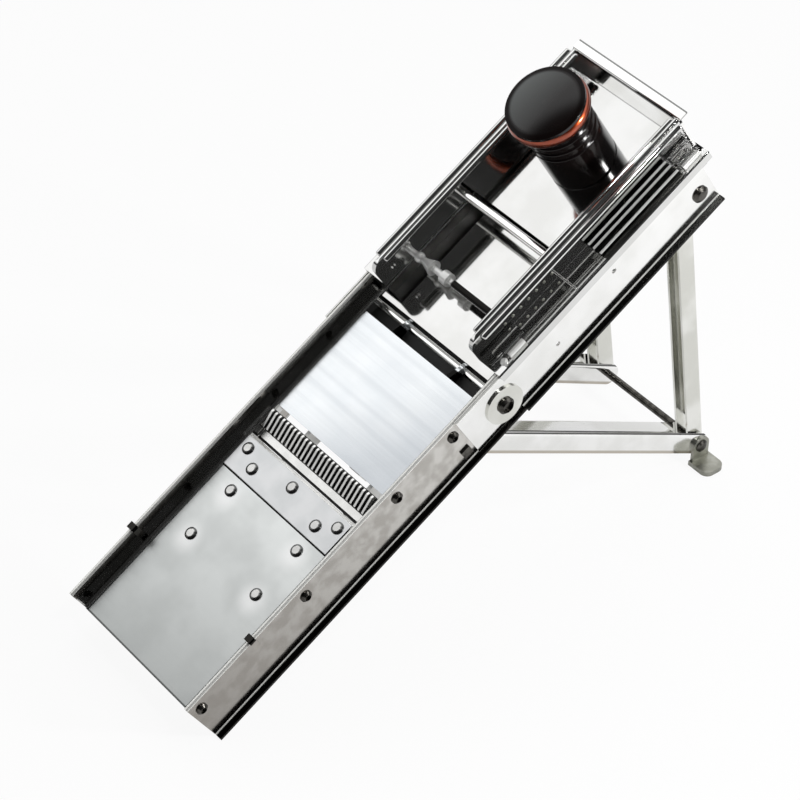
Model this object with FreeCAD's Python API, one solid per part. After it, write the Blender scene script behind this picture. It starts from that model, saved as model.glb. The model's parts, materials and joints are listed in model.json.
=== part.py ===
import FreeCAD, Part
import math
import os

V = FreeCAD.Vector
UP = V(0, 0, 1)
FAR = V(0, 1, 0)

# Mandoline slicer on a folding stand. All lengths in millimetres.
# The deck is drawn flat: s runs uphill along it, y across it to the far side, n square to it,
# with n = 0 on top of the plates. UP is square to the deck and FAR across it. At the end all is tilted.

# Clearances
HOLE_GAP = 0.1       # round a fixed screw or rod
RUN_GAP = 0.05       # round a shaft that turns
SLIDE_GAP = 0.3      # between the carriage and the rail it slides on
SIDE_GAP = 0.7       # beside a plate or runner in its channel
CUT_OVER = 1.0       # how far a cutting tool reaches past the piece it cuts

# Rails
DECK_LENGTH = 390.0
SHEET = 1.5
RAIL_HALF = 55.0     # outer face of the lower rails
RAIL_TOP = 10.0
RAIL_BOTTOM = -25.0
RAIL_BEND_R = 2.0
FOOT_FLANGE = 4.0
HEM_WIDTH = 3.0
HEM_DEPTH = 5.0
HEM_R = 1.2
LAP_LENGTH = 33.5    # upper rail over lower rail
LAP_RISE = 1.0       # the upper rail clears the bend of the lower one by this
EDGE_R = 0.8         # usual rounding of a folded edge
SIGHT_HOLE_R = 1.5
SIGHT_HOLES = [(35.2, -8.1), (82.7, -0.6)]     # from the end of the lower rail

# Guide channels beside the plates
CHANNEL_SPACE = 9.1  # from the plate edge to the outer face of the rail
WEB_N = -5.0         # running floor of the channel
RIM_N = 0.4
RIM_R = 0.6
UPSTAND_TOP = 4.5

# Plates
LANDING_END = 106.4
PLATE_FLANGE = 6.5
BRACE_SETBACK = [38.7, 7.5]                    # from the end of the landing plate
BRACE_WIDTH = 12.0
BRACE_THICK = 3.0
BRACE_RIVET_INSET = 16.4     # from the plate edge
RIVET_R = 2.0
RIVET_HEAD_R = 3.6
RIVET_HEAD_H = 1.2
CROWN_SHARE = 0.6    # flat crown of a round head, as a share of its radius
SHOULDER_SHARE = 0.35

# Blade
CLAMP_GAP = 0.9      # slit between the landing plate and the clamp strip
CLAMP_WIDTH = 20.6
CLAMP_THICK = 1.0
CLAMP_R = 0.4
BLADE_SETBACK = 1.0
BLADE_SHOW = 1.6     # edge of the blade in front of its clamp strip
BLADE_BEVEL = 1.4
BLADE_THICK = 1.2
BLADE_LAND = 0.1
BED_UNDERLAP = 1.2   # bed under the end of the landing plate
BED_SETBACK = 3.5    # bed behind the blade edge, so that slices fall free
BED_SLOPE = 1.8
BED_BOTTOM = -6.0
RIVET_ROWS = [(14.6, 6.3), (7.7, 17.7)]        # from the start of the clamp strip and the plate edge

# Comb
COMB_GAP = 0.5       # between the blade edge and the comb
COMB_LENGTH = 17.6
COMB_BAR_TOP = -5.3
COMB_BAR_THICK = 2.3
FRONT_STRIP_SETBACK = 1.4
FRONT_STRIP_WIDTH = 4.2
FRONT_STRIP_THICK = 0.8
TOOTH_SETBACK = 6.0
TOOTH_LENGTH = 10.8
TOOTH_TOP = 3.0
TOOTH_FRONT_TOP = -0.5
TOOTH_CROWN = 1.5
TOOTH_CROWN_DROP = 0.4
TOOTH_COUNT = 27
TOOTH_EDGE = 0.95    # carrier beside the last tooth
TOOTH_THICK = 1.4
COMB_DROP = 4.4
SEAT_STRIP_WIDTH = 1.2
SEAT_STRIP_HIGH = 1.1
SEAT_STRIP_SETBACK = 3.5
SEAT_STRIP_LENGTH = 21.0

# Feed plate
FEED_GAP = 2.9       # between the comb and the feed plate
FEED_WIDTH = 69.3
FEED_SIDE_GAP = 0.5
HINGE_SETBACK = 9.0  # hinge beyond the end of the feed plate
HINGE_N = -9.3
HINGE_R = 2.5
EAR_IN = 22.0
EAR_THICK = 2.5
EAR_R = 4.6
EAR_ROOT = 15.8      # ear under the end of the feed plate
EAR_SLOT_GAP = 0.3
FEED_DROP_DEG = 3.2
HINGE_BED_HALF = 10.0
HINGE_BED_RISE = 1.2     # above the middle of the rod, so that the rod snaps in
HINGE_BED_WALL = 1.8
KEEL_HALF = 28.0
KEEL_DEPTH = 2.4
UPPER_PLATE_GAP = 3.2    # from the middle of the rod to the upper plate
DISC_R = 12.0
DISC_THICK = 1.2
NUT_R = 5.0
NUT_H = 3.0
NUT_SOCKET_R = 3.5
NUT_SOCKET_DEPTH = 2.2

# Cam shafts under the deck
FEED_CAM_SETBACK = 15.5
COMB_CAM_SETBACK = 9.0
CAM_N = -18.0
CAM_SHAFT_R = 3.0
CAM_SHAFT_HALF = 29.0
CAM_TURN_DEG = 90.0
CAM_STEPS = 12
CAM_DWELL_STEPS = 4
CAM_GAP = 0.3
CAM_WIDTH = 5.0
CAM_Y = 19.0
CAM_BACK_START_DEG = 150.0
CAM_BACK_STEP_DEG = 20.0
CAM_BACK_STEPS = 7
COMB_CAM_BACK_R = 5.0
FEED_CAM_BACK_R = 9.0
BRACKET_IN = 26.0
BRACKET_THICK = 2.5
BRACKET_SETBACK = 5.0
BRACKET_PAST = 8.0
BRACKET_TOP = -12.6
BRACKET_BOTTOM = -24.0
BRACKET_R = 3.0
LEVER_LENGTH = 34.0
LEVER_HUB_R = 6.0
LEVER_TIP_R = 4.5
LEVER_THICK = 4.0
LEVER_Y = 8.0
FEED_LEVER_DEG = -105.0
COMB_LEVER_DEG = -75.0
GRIP_R = 4.5
GRIP_LENGTH = 9.0

# Screws and clips on the rails
SCREW_R = 2.0
SCREW_N = 2.0
SCREW_HEAD_R = 3.4
SCREW_HEAD_H = 2.0
SCREW_SOCKET_R = 1.8
SCREW_SOCKET_DEPTH = 1.5
SCREW_FROM_LOW_END = 6.0
SCREW_FROM_LANDING_END = 21.5
SCREW_FROM_FEED_START = 3.7
SCREW_FROM_LAP = 5.4
CLIP_START = 47.0
CLIP_LENGTH = 4.0
CLIP_SHEET = 1.4
CLIP_DEPTH = 7.0
CLIP_R = 1.0

# Stand
LEG_SETBACK = 9.0    # leg bolt from the high end of the deck
LEG_N = -10.5
LEG_LENGTH = 200.1
LEG_LEAN_DEG = 22.8
LEG_BOLT_R = 3.0
LEG_BOLT_HEAD_R = 5.0
LEG_BOLT_HEAD_H = 2.2
LEG_INSET = 11.0     # outer cheek of the leg inside the face of the rail
LEG_WIDTH = 10.8
LEG_HALF_DEPTH = 6.0
LEG_WEB_CUT = 9.0
LINK_BEND_R = 2.6    # outside of the long bends of legs and struts
STRUT_GAP_IN = 0.2
STRUT_GAP_OUT = 1.0
STRUT_HALF_DEPTH = 6.5
STRUT_WEB_KNEE_CUT = 26.0
STRUT_WEB_HOOK_CUT = 11.0
CATCH_FROM_LAP = 5.0
CATCH_N = -15.5
CATCH_R = 2.5
CATCH_HEAD = 6.0
CATCH_HEAD_H = 1.2
HOOK_GAP = 0.6
HOOK_FLARE = 3.0
KNEE_R = 2.2
KNEE_HEAD_R = 4.0
KNEE_HEAD_H = 1.5
KNEE_HEIGHT = 12.0   # knee above the table
TAB_LENGTH = 15.0
TAB_REACH = 15.5
TAB_THICK = 3.0
TAB_CORNER_R = 5.0
TAB_EAR = 2.0
TAB_EAR_R = 6.0
SPACER_R = 5.0

# Carriage
CAR_SETBACK = 7.2    # low end of the carriage beyond the hinge rod
CAR_LENGTH = 161.0
CAR_INSET = 15.6     # inner face of the side walls inside the face of the rail
CAR_TOP = 29.2
CAR_LIP_DROP = 4.0
CAR_LIP_THICK = 1.1
CAR_LIP_GAP = 0.4
CAR_LIP_R = 1.0
CAR_HEM = 5.6
CAR_HEM_R = 1.9
CAR_CORNER_R = 7.0
SEAM_SETBACK = 61.0
SEAM_R = 0.7
END_FLANGE = 5.0
END_BEND_R = 2.0
HANDLE_PLATE_SETBACK = 70.0
BAR_SETBACK = 64.0
BAR_N = 20.5
BAR_R = 2.5
SPINDLE_SETBACK = 23.0
SPINDLE_N = 13.5
SPINDLE_R = 2.0
SPINDLE_BALL_R = 3.2
SPINDLE_BALL_INSET = 6.4     # these three from the far wall of the carriage
SPINDLE_CONE_R = 4.6
SPINDLE_CONE_INSET = 18.4
SPINDLE_CONE_LENGTH = 8.0
SPINDLE_BOSS_R = 4.0
SPINDLE_BOSS_INSET = 29.4
SPINDLE_BOSS_LENGTH = 5.0
RUNNER_BOTTOM = -3.5
RUNNER_SETBACK = 2.0
SHOE_SPANS = [(2.0, 26.0), (145.0, 159.5)]     # from the low end of the carriage
SHOE_GAP = 0.9
SHOE_WIDTH = 9.0
SHOE_HIGH = 2.2
SHOE_SCREW_OFFSET = 5.5
SHOE_SCREW_INSET = 4.8
SHOE_SCREW_R = 2.1
SHOE_SCREW_H = 1.4
GUIDE_BAR_SPANS = [(11.5, 22.5), (145.5, 157.5)]
GUIDE_BAR_INSET = 4.0
GUIDE_BAR_R = 1.7
GUIDE_BAR_SINK = 0.3
STRIP_SPAN = (83.0, 143.0)
STRIP_THICK = 0.7
STRIP_RIDGES = [2.4, 6.4, 11.7]                # from the outside of the wall
STRIP_RIDGE_HALF = 1.0
STRIP_RIDGE_HIGH = 1.6
WALL_RIVET_SETBACK = 22.7
WALL_RIVET_PITCH = 6.0
WALL_RIVET_COUNT = 7
WALL_RIVET_N = 16.8
WALL_RIVET_R = 0.9
WALL_RIVET_H = 0.5
CORNER_RIVET_SETBACK = 10.0
CORNER_RIVET_R = 1.6
CORNER_RIVET_H = 0.9
CORNER_RIVET_DROP = 4.0

# Handle
HANDLE_SETBACK = 119.0
HANDLE_BODY_R = 19.3
HANDLE_FOOT_R = 1.5
HANDLE_GROOVE = 1.6
HANDLE_GROOVE_WIDTH = 2.4
HANDLE_RIB_R = 0.6
HANDLE_NECK_R = 17.4
HANDLE_NECK_HIGH = 2.0
HANDLE_HEAD_R = 22.4
HANDLE_HEAD_START = 59.4
HANDLE_HEAD_FLARE = 2.0
HANDLE_TOP = 69.6
HANDLE_DOME_R = 110.0
HANDLE_RIM_R = 2.6
HANDLE_UNDER_R = 1.0
HANDLE_RIB_START = 39.5
HANDLE_RIB_PITCH = 5.8
HANDLE_RIB_COUNT = 3
HANDLE_SCREW_R = 3.0
HANDLE_SCREW_END = 36.0
HANDLE_SCREW_SHORT = 1.0
HANDLE_SCREW_HEAD_R = 6.0
HANDLE_SCREW_HEAD_H = 3.0

# Places along the deck, each counted from the one before
CLAMP_START = LANDING_END + CLAMP_GAP
CLAMP_END = CLAMP_START + CLAMP_WIDTH
BLADE_EDGE = CLAMP_END + BLADE_SHOW
COMB_START = BLADE_EDGE + COMB_GAP
COMB_END = COMB_START + COMB_LENGTH
FEED_START = COMB_END + FEED_GAP
FEED_END = FEED_START + FEED_WIDTH
HINGE_S = FEED_END + HINGE_SETBACK
UPPER_PLATE_START = HINGE_S + UPPER_PLATE_GAP
CAR_START = HINGE_S + CAR_SETBACK
CAR_END = CAR_START + CAR_LENGTH
LOWER_RAIL_END = CAR_START
UPPER_RAIL_START = LOWER_RAIL_END - LAP_LENGTH
LEG_S = DECK_LENGTH - LEG_SETBACK
CATCH_S = UPPER_RAIL_START - CATCH_FROM_LAP
FEED_CAM_S = FEED_START + FEED_CAM_SETBACK
COMB_CAM_S = COMB_START + COMB_CAM_SETBACK
HANDLE_S = CAR_START + HANDLE_SETBACK
SPINDLE_S = CAR_START + SPINDLE_SETBACK

# Faces across the deck and levels that follow from the sizes above
PLATE_HALF = RAIL_HALF - CHANNEL_SPACE
PLATE_INNER = PLATE_HALF - SHEET
BLADE_HALF = PLATE_HALF - SIDE_GAP
FEED_HALF = PLATE_HALF - FEED_SIDE_GAP
UPPER_HALF = RAIL_HALF + SHEET
RAIL_INNER = RAIL_HALF - SHEET
UPSTAND_IN = RAIL_INNER - SHEET
RUNNER_IN = PLATE_HALF + SHEET + SIDE_GAP
RUNNER_OUT = UPSTAND_IN - SIDE_GAP
FLANGE_N = RAIL_TOP + SLIDE_GAP
FLANGE_TOP = FLANGE_N + SHEET
CAR_HALF = RAIL_HALF - CAR_INSET
CAR_OUT = CAR_HALF + SHEET
CAR_HEM_OUT = CAR_OUT + SHEET
LIP_IN = UPPER_HALF + CAR_LIP_GAP
LIP_OUT = LIP_IN + CAR_LIP_THICK
LEG_OUT = RAIL_HALF - LEG_INSET
LEG_IN = LEG_OUT - LEG_WIDTH
STRUT_IN = LEG_IN - SHEET - STRUT_GAP_IN
STRUT_OUT = LEG_OUT + SHEET + STRUT_GAP_OUT
LEAN = math.radians(LEG_LEAN_DEG)
KNEE_S = LEG_S - LEG_LENGTH * math.sin(LEAN)
KNEE_N = LEG_N - LEG_LENGTH * math.cos(LEAN)
STRUT_RISE = CATCH_N - KNEE_N
STRUT_RUN = KNEE_S - CATCH_S
STRUT_LENGTH = math.hypot(STRUT_RISE, STRUT_RUN)
STRUT_LEAN_DEG = math.degrees(math.atan2(STRUT_RUN, STRUT_RISE))
KNEE_DEEP = RAIL_BOTTOM - KNEE_N
TILT = math.atan2(KNEE_DEEP, KNEE_S) + math.asin(KNEE_HEIGHT / math.hypot(KNEE_DEEP, KNEE_S))


def outline(points, place):
    """Closed face through 2D points; a third value rounds that corner."""
    corners = []
    for i, point in enumerate(points):
        here = V(point[0], point[1], 0)
        if len(point) == 2:
            corners.append((here, None, here))
            continue
        back = points[i - 1]
        ahead = points[(i + 1) % len(points)]
        d1 = (V(back[0], back[1], 0) - here).normalize()
        d2 = (V(ahead[0], ahead[1], 0) - here).normalize()
        half = d1.getAngle(d2) / 2
        reach = point[2] / math.tan(half)
        middle = here + (d1 + d2).normalize() * (point[2] / math.sin(half) - point[2])
        corners.append((here + d1 * reach, middle, here + d2 * reach))
    edges = []
    for i, (start, middle, end) in enumerate(corners):
        if middle is not None:
            edges.append(Part.Arc(place(start), place(middle), place(end)).toShape())
        following = corners[(i + 1) % len(corners)][0]
        if end.distanceToPoint(following) > 1e-6:
            edges.append(Part.makeLine(place(end), place(following)))
    return Part.Face(Part.Wire(edges))


def along_s(points, s0, s1):
    """Section drawn in y and n, run from s0 to s1."""
    return outline(points, lambda p: V(s0, p.x, p.y)).extrude(V(s1 - s0, 0, 0))


def along_y(points, y0, y1):
    """Section drawn in s and n, run from y0 to y1."""
    return outline(points, lambda p: V(p.x, y0, p.y)).extrude(V(0, y1 - y0, 0))


def block(s0, s1, y0, y1, n0, n1):
    return Part.makeBox(s1 - s0, y1 - y0, n1 - n0, V(s0, y0, n0))


def rod(radius, s, n, y0, y1):
    """Round bar across the deck."""
    return Part.makeCylinder(radius, y1 - y0, V(s, y0, n), FAR)


def post(radius, s, y, n0, n1):
    """Round bar square to the deck."""
    return Part.makeCylinder(radius, n1 - n0, V(s, y, n0), UP)


def turned(points, base, axis):
    """Solid of revolution from (radius, height) points about an axis through base."""
    face = outline(points, lambda p: V(p.x, 0, p.y))
    solid = face.revolve(V(0, 0, 0), UP, 360)
    solid.Placement = FreeCAD.Placement(base, FreeCAD.Rotation(UP, axis))
    return solid


def dome(radius, height, base, axis):
    """Low rounded head."""
    shoulder = height * SHOULDER_SHARE
    crown = radius * CROWN_SHARE
    return turned([(0, 0), (radius, 0), (radius, shoulder), (crown, height), (0, height)], base, axis)


def headed(shank_r, length, head_r, head_h, base, axis):
    """Pin whose dome head sits on base and whose shank runs back from it."""
    shank = Part.makeCylinder(shank_r, length, base - axis * length, axis)
    return shank.fuse(dome(head_r, head_h, base, axis)).removeSplitter()


def bar_link(radius, s0, n0, s1, n1, y0, y1):
    """Flat link with round ends between two points."""
    length = math.hypot(s1 - s0, n1 - n0)
    body = Part.makeBox(length, y1 - y0, 2 * radius, V(0, 0, -radius))
    body = body.fuse(rod(radius, 0, 0, 0, y1 - y0)).fuse(rod(radius, length, 0, 0, y1 - y0))
    body = body.removeSplitter()
    body.rotate(V(0, 0, 0), FAR, -math.degrees(math.atan2(n1 - n0, s1 - s0)))
    body.translate(V(s0, y0, n0))
    return body


def folded_link(half, n1, y0, y1):
    """Link of folded sheet from n = 0 to n1: two cheeks with round ends and a web on the uphill side."""
    low = min(0, n1) - half
    run = V(0, 0, abs(n1) + 2 * half)
    around = outline([(-half, y0), (half, y0, LINK_BEND_R), (half, y1, LINK_BEND_R), (-half, y1)],
                     lambda p: V(p.x, p.y, low)).extrude(run)
    web = half - SHEET
    inner_r = LINK_BEND_R - SHEET
    hollow = outline([(-2 * half, y0 + SHEET), (web, y0 + SHEET, inner_r), (web, y1 - SHEET, inner_r),
                      (-2 * half, y1 - SHEET)], lambda p: V(p.x, p.y, low)).extrude(run)
    return bar_link(half, 0, 0, 0, n1, y0, y1).common(around).cut(hollow)


def mirrored(shape):
    return shape.mirror(V(0, 0, 0), FAR)


def pair(shape):
    return [shape, mirrored(shape)]


def group(shapes):
    return Part.makeCompound(shapes)


def cut_all(shape, tools):
    for tool in tools:
        shape = shape.cut(tool)
    return shape


nodes = {}

# Side rails: a wall with a hem on top and a flange turned out at the bottom
SCREWS = [SCREW_FROM_LOW_END, LANDING_END - SCREW_FROM_LANDING_END, FEED_START + SCREW_FROM_FEED_START,
          UPPER_RAIL_START - SCREW_FROM_LAP]


def rail(outer, s0, s1):
    inner = outer - SHEET
    hem = outer - HEM_WIDTH
    section = [(inner, RAIL_BOTTOM, RAIL_BEND_R), (outer + FOOT_FLANGE, RAIL_BOTTOM),
               (outer + FOOT_FLANGE, RAIL_BOTTOM + SHEET), (outer, RAIL_BOTTOM + SHEET, EDGE_R),
               (outer, RAIL_TOP, HEM_R), (hem, RAIL_TOP, HEM_R), (hem, RAIL_TOP - HEM_DEPTH),
               (inner, RAIL_TOP - HEM_DEPTH)]
    return along_s(section, s0, s1)


lower_rail = rail(RAIL_HALF, 0, LOWER_RAIL_END)
lower_tools = [rod(SCREW_R + HOLE_GAP, s, SCREW_N, UPSTAND_IN, UPPER_HALF) for s in SCREWS]
lower_tools.append(rod(HINGE_R + HOLE_GAP, HINGE_S, HINGE_N, UPSTAND_IN, UPPER_HALF))
lower_tools.append(rod(CATCH_R + HOLE_GAP, CATCH_S, CATCH_N, UPSTAND_IN, UPPER_HALF))
lower_rail = cut_all(lower_rail, lower_tools)
nodes["far_lower_rail"] = lower_rail
nodes["near_lower_rail"] = mirrored(lower_rail)

upper_rail = rail(UPPER_HALF, UPPER_RAIL_START, DECK_LENGTH)
hem_low = RAIL_TOP - HEM_DEPTH
lap_hem = block(UPPER_RAIL_START, LOWER_RAIL_END, UPSTAND_IN, RAIL_HALF, hem_low - SHEET, RAIL_TOP)
lap_flange = block(UPPER_RAIL_START, LOWER_RAIL_END, RAIL_HALF, UPPER_HALF + FOOT_FLANGE, RAIL_BOTTOM,
                   RAIL_BOTTOM + SHEET + LAP_RISE)
upper_tools = [lap_hem, lap_flange]
upper_tools += [rod(SIGHT_HOLE_R, LOWER_RAIL_END + s, n, RAIL_INNER, UPPER_HALF) for s, n in SIGHT_HOLES]
upper_tools.append(rod(HINGE_R + HOLE_GAP, HINGE_S, HINGE_N, RAIL_INNER, UPPER_HALF))
upper_tools.append(rod(LEG_BOLT_R + HOLE_GAP, LEG_S, LEG_N, RAIL_INNER, UPPER_HALF))
upper_rail = cut_all(upper_rail, upper_tools)
nodes["far_upper_rail"] = upper_rail
nodes["near_upper_rail"] = mirrored(upper_rail)

# Guide channels: floor, low inner rim and upstand against the rail
web_low = WEB_N - SHEET
rim_out = PLATE_HALF + SHEET
channel_section = [(PLATE_HALF, web_low, EDGE_R), (RAIL_INNER, web_low), (RAIL_INNER, UPSTAND_TOP),
                   (UPSTAND_IN, UPSTAND_TOP), (UPSTAND_IN, WEB_N), (rim_out, WEB_N), (rim_out, RIM_N, RIM_R),
                   (PLATE_HALF, RIM_N, RIM_R)]
channel = along_s(channel_section, 0, DECK_LENGTH)
channel = cut_all(channel, [rod(SCREW_R + HOLE_GAP, s, SCREW_N, rim_out, RAIL_HALF) for s in SCREWS])
nodes["far_guide_channel"] = channel
nodes["near_guide_channel"] = mirrored(channel)

filler = block(LOWER_RAIL_END, DECK_LENGTH, RAIL_INNER, RAIL_HALF, web_low, UPSTAND_TOP)
nodes["rail_fillers"] = group(pair(filler))
seat_start = BLADE_EDGE - SEAT_STRIP_SETBACK
seat_strip = block(seat_start, seat_start + SEAT_STRIP_LENGTH, UPSTAND_IN - SEAT_STRIP_WIDTH, UPSTAND_IN,
                   WEB_N, WEB_N + SEAT_STRIP_HIGH)
nodes["seat_strips"] = group(pair(seat_strip))

# Plates between the channels


def flanged_plate(s0, s1):
    section = [(-PLATE_HALF, -PLATE_FLANGE), (-PLATE_INNER, -PLATE_FLANGE), (-PLATE_INNER, -SHEET),
               (PLATE_INNER, -SHEET), (PLATE_INNER, -PLATE_FLANGE), (PLATE_HALF, -PLATE_FLANGE),
               (PLATE_HALF, 0, EDGE_R), (-PLATE_HALF, 0, EDGE_R)]
    return along_s(section, s0, s1)


landing = flanged_plate(0, LANDING_END)
landing = landing.fuse(block(0, SHEET, -PLATE_INNER, PLATE_INNER, -PLATE_FLANGE, -SHEET)).removeSplitter()
bed_notch = block(LANDING_END - BED_UNDERLAP, LANDING_END, -PLATE_HALF, PLATE_HALF, -PLATE_FLANGE, -SHEET)
brace_middles = [LANDING_END - setback for setback in BRACE_SETBACK]
brace_y = PLATE_HALF - BRACE_RIVET_INSET
brace_spots = [(s, y) for s in brace_middles for y in (-brace_y, brace_y)]
brace_bottom = -SHEET - BRACE_THICK
brace_tools = [post(RIVET_R + HOLE_GAP, s, y, brace_bottom, 0) for s, y in brace_spots]
nodes["landing_plate"] = cut_all(landing, brace_tools + [bed_notch])
braces = [block(s - BRACE_WIDTH / 2, s + BRACE_WIDTH / 2, -PLATE_INNER, PLATE_INNER, brace_bottom, -SHEET)
          for s in brace_middles]
nodes["landing_braces"] = group([cut_all(brace, brace_tools) for brace in braces])
nodes["landing_rivets"] = group([headed(RIVET_R, -brace_bottom, RIVET_HEAD_R, RIVET_HEAD_H, V(s, y, 0), UP)
                                 for s, y in brace_spots])
nodes["upper_plate"] = flanged_plate(UPPER_PLATE_START, DECK_LENGTH)

# Blade, the strip that clamps it and the bed under it
blade_rivets = [(CLAMP_START + RIVET_ROWS[0][0], 0)]
for setback, inset in RIVET_ROWS:
    blade_rivets += [(CLAMP_START + setback, y) for y in (inset - PLATE_HALF, PLATE_HALF - inset)]
blade_tools = [post(RIVET_R + HOLE_GAP, s, y, BED_BOTTOM, CLAMP_THICK) for s, y in blade_rivets]
bed_end = BLADE_EDGE - BED_SETBACK
bed_start = LANDING_END - BED_UNDERLAP
bed = along_y([(bed_start, BED_BOTTOM), (bed_end - BED_SLOPE, BED_BOTTOM), (bed_end, -2 * BLADE_THICK),
               (bed_end, -BLADE_THICK), (CLAMP_START, -BLADE_THICK), (CLAMP_START, -SHEET),
               (bed_start, -SHEET)], -PLATE_HALF, PLATE_HALF)
nodes["blade_bed"] = cut_all(bed, blade_tools)
blade_start = CLAMP_START + BLADE_SETBACK
blade = along_y([(blade_start, -BLADE_THICK), (BLADE_EDGE, -BLADE_THICK),
                 (BLADE_EDGE, BLADE_LAND - BLADE_THICK), (BLADE_EDGE - BLADE_BEVEL, 0), (blade_start, 0)],
                -BLADE_HALF, BLADE_HALF)
nodes["blade"] = cut_all(blade, blade_tools)
clamp = along_y([(CLAMP_START, 0), (CLAMP_END, 0), (CLAMP_END, CLAMP_THICK, CLAMP_R),
                 (CLAMP_START, CLAMP_THICK, CLAMP_R)], -BLADE_HALF, BLADE_HALF)
nodes["blade_clamp_strip"] = cut_all(clamp, blade_tools)
nodes["blade_rivets"] = group([headed(RIVET_R, CLAMP_THICK - BED_BOTTOM, RIVET_HEAD_R, RIVET_HEAD_H,
                                      V(s, y, CLAMP_THICK), UP) for s, y in blade_rivets])

# Comb: a bar with a bright strip along its front and a row of upright teeth
comb_bar_bottom = COMB_BAR_TOP - COMB_BAR_THICK
nodes["comb_carrier"] = block(COMB_START, COMB_END, -BLADE_HALF, BLADE_HALF, comb_bar_bottom, COMB_BAR_TOP)
front_start = COMB_START + FRONT_STRIP_SETBACK
nodes["comb_front_strip"] = block(front_start, front_start + FRONT_STRIP_WIDTH, -BLADE_HALF, BLADE_HALF,
                                  COMB_BAR_TOP, COMB_BAR_TOP + FRONT_STRIP_THICK)
tooth_start = COMB_START + TOOTH_SETBACK
tooth_end = tooth_start + TOOTH_LENGTH
tooth = [(tooth_start, COMB_BAR_TOP), (tooth_end, COMB_BAR_TOP), (tooth_end, TOOTH_TOP - TOOTH_CROWN_DROP),
         (tooth_end - TOOTH_CROWN, TOOTH_TOP), (tooth_start, TOOTH_FRONT_TOP)]
first_tooth = TOOTH_EDGE - BLADE_HALF
tooth_pitch = (-2 * first_tooth - TOOTH_THICK) / (TOOTH_COUNT - 1)
teeth = []
for i in range(TOOTH_COUNT):
    y = first_tooth + i * tooth_pitch
    teeth.append(along_y(tooth, y, y + TOOTH_THICK))
nodes["comb_teeth"] = group(teeth)

# Feed plate on two ears that turn on the hinge rod
feed = block(FEED_START, FEED_END, -FEED_HALF, FEED_HALF, -SHEET, 0)
ear_out = EAR_IN + EAR_THICK
ear_foot = EAR_R * math.sqrt(0.5)
ear_arm = along_y([(FEED_END - EAR_ROOT, -SHEET), (FEED_END, -SHEET), (HINGE_S, HINGE_N + EAR_R),
                   (HINGE_S - ear_foot, HINGE_N - ear_foot)], EAR_IN, ear_out)
ear = rod(EAR_R, HINGE_S, HINGE_N, EAR_IN, ear_out).fuse(ear_arm)
ear = ear.cut(rod(HINGE_R + RUN_GAP, HINGE_S, HINGE_N, EAR_IN - CUT_OVER, ear_out + CUT_OVER))
nodes["feed_plate"] = feed.fuse(pair(ear)).removeSplitter()
disc_out = UPPER_HALF + DISC_THICK
nodes["feed_hinge_rod"] = rod(HINGE_R, HINGE_S, HINGE_N, -disc_out, disc_out)
disc = rod(DISC_R, HINGE_S, HINGE_N, UPPER_HALF, disc_out)
nodes["pivot_discs"] = group(pair(disc.cut(rod(HINGE_R + HOLE_GAP, HINGE_S, HINGE_N, UPPER_HALF, disc_out))))
nut = dome(NUT_R, NUT_H, V(HINGE_S, disc_out, HINGE_N), FAR)
nut = nut.cut(rod(NUT_SOCKET_R, HINGE_S, HINGE_N, disc_out + NUT_H - NUT_SOCKET_DEPTH, disc_out + NUT_H))
nodes["hinge_nuts"] = group(pair(nut))

# Bed that the hinge rod snaps into, with slots for the ears and a keel that joins its parts under them
bed_low = HINGE_N - HINGE_R - HINGE_BED_WALL
keel_low = bed_low - KEEL_DEPTH
bed_s0 = HINGE_S - HINGE_BED_HALF
bed_s1 = HINGE_S + HINGE_BED_HALF
hinge_bed = block(bed_s0, bed_s1, -RAIL_INNER, RAIL_INNER, bed_low, HINGE_N + HINGE_BED_RISE)
keel = block(bed_s0, bed_s1, -KEEL_HALF, KEEL_HALF, keel_low, bed_low)
hinge_bed = hinge_bed.fuse(keel).removeSplitter()
slot = block(bed_s0, bed_s1, EAR_IN - EAR_SLOT_GAP, ear_out + EAR_SLOT_GAP, HINGE_N - EAR_R - EAR_SLOT_GAP, 0)
bed_tools = pair(slot) + [rod(HINGE_R + RUN_GAP, HINGE_S, HINGE_N, -RAIL_HALF, RAIL_HALF)]
nodes["hinge_bed"] = cut_all(hinge_bed, bed_tools)

# Cam shafts: each turn lowers a flat face above it by an even amount


def cam(s, high, drop, back_r, sense, y):
    """Cam whose top height falls evenly with turn; sense is +1 when it turns towards low s at the top."""
    turn = math.radians(CAM_TURN_DEG)
    points = []
    for step in range(CAM_STEPS + CAM_DWELL_STEPS + 1):
        angle = turn * step / CAM_STEPS
        height = high - drop * min(angle / turn, 1)
        slope = drop / turn if step <= CAM_STEPS else 0
        points.append((height * math.sin(angle) - slope * math.cos(angle),
                       height * math.cos(angle) + slope * math.sin(angle)))
    for step in range(CAM_BACK_STEPS):
        angle = math.radians(CAM_BACK_START_DEG + CAM_BACK_STEP_DEG * step)
        points.append((back_r * math.sin(angle), back_r * math.cos(angle)))
    section = [(s + sense * a, CAM_N + b) for a, b in points]
    return along_y(section, y - CAM_WIDTH / 2, y + CAM_WIDTH / 2)


def cam_shaft(s, high, drop, back_r, sense):
    shaft = rod(CAM_SHAFT_R, s, CAM_N, -CAM_SHAFT_HALF, CAM_SHAFT_HALF)
    for y in (-CAM_Y, CAM_Y):
        shaft = shaft.fuse(cam(s, high, drop, back_r, sense, y))
    return shaft.removeSplitter()


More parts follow.
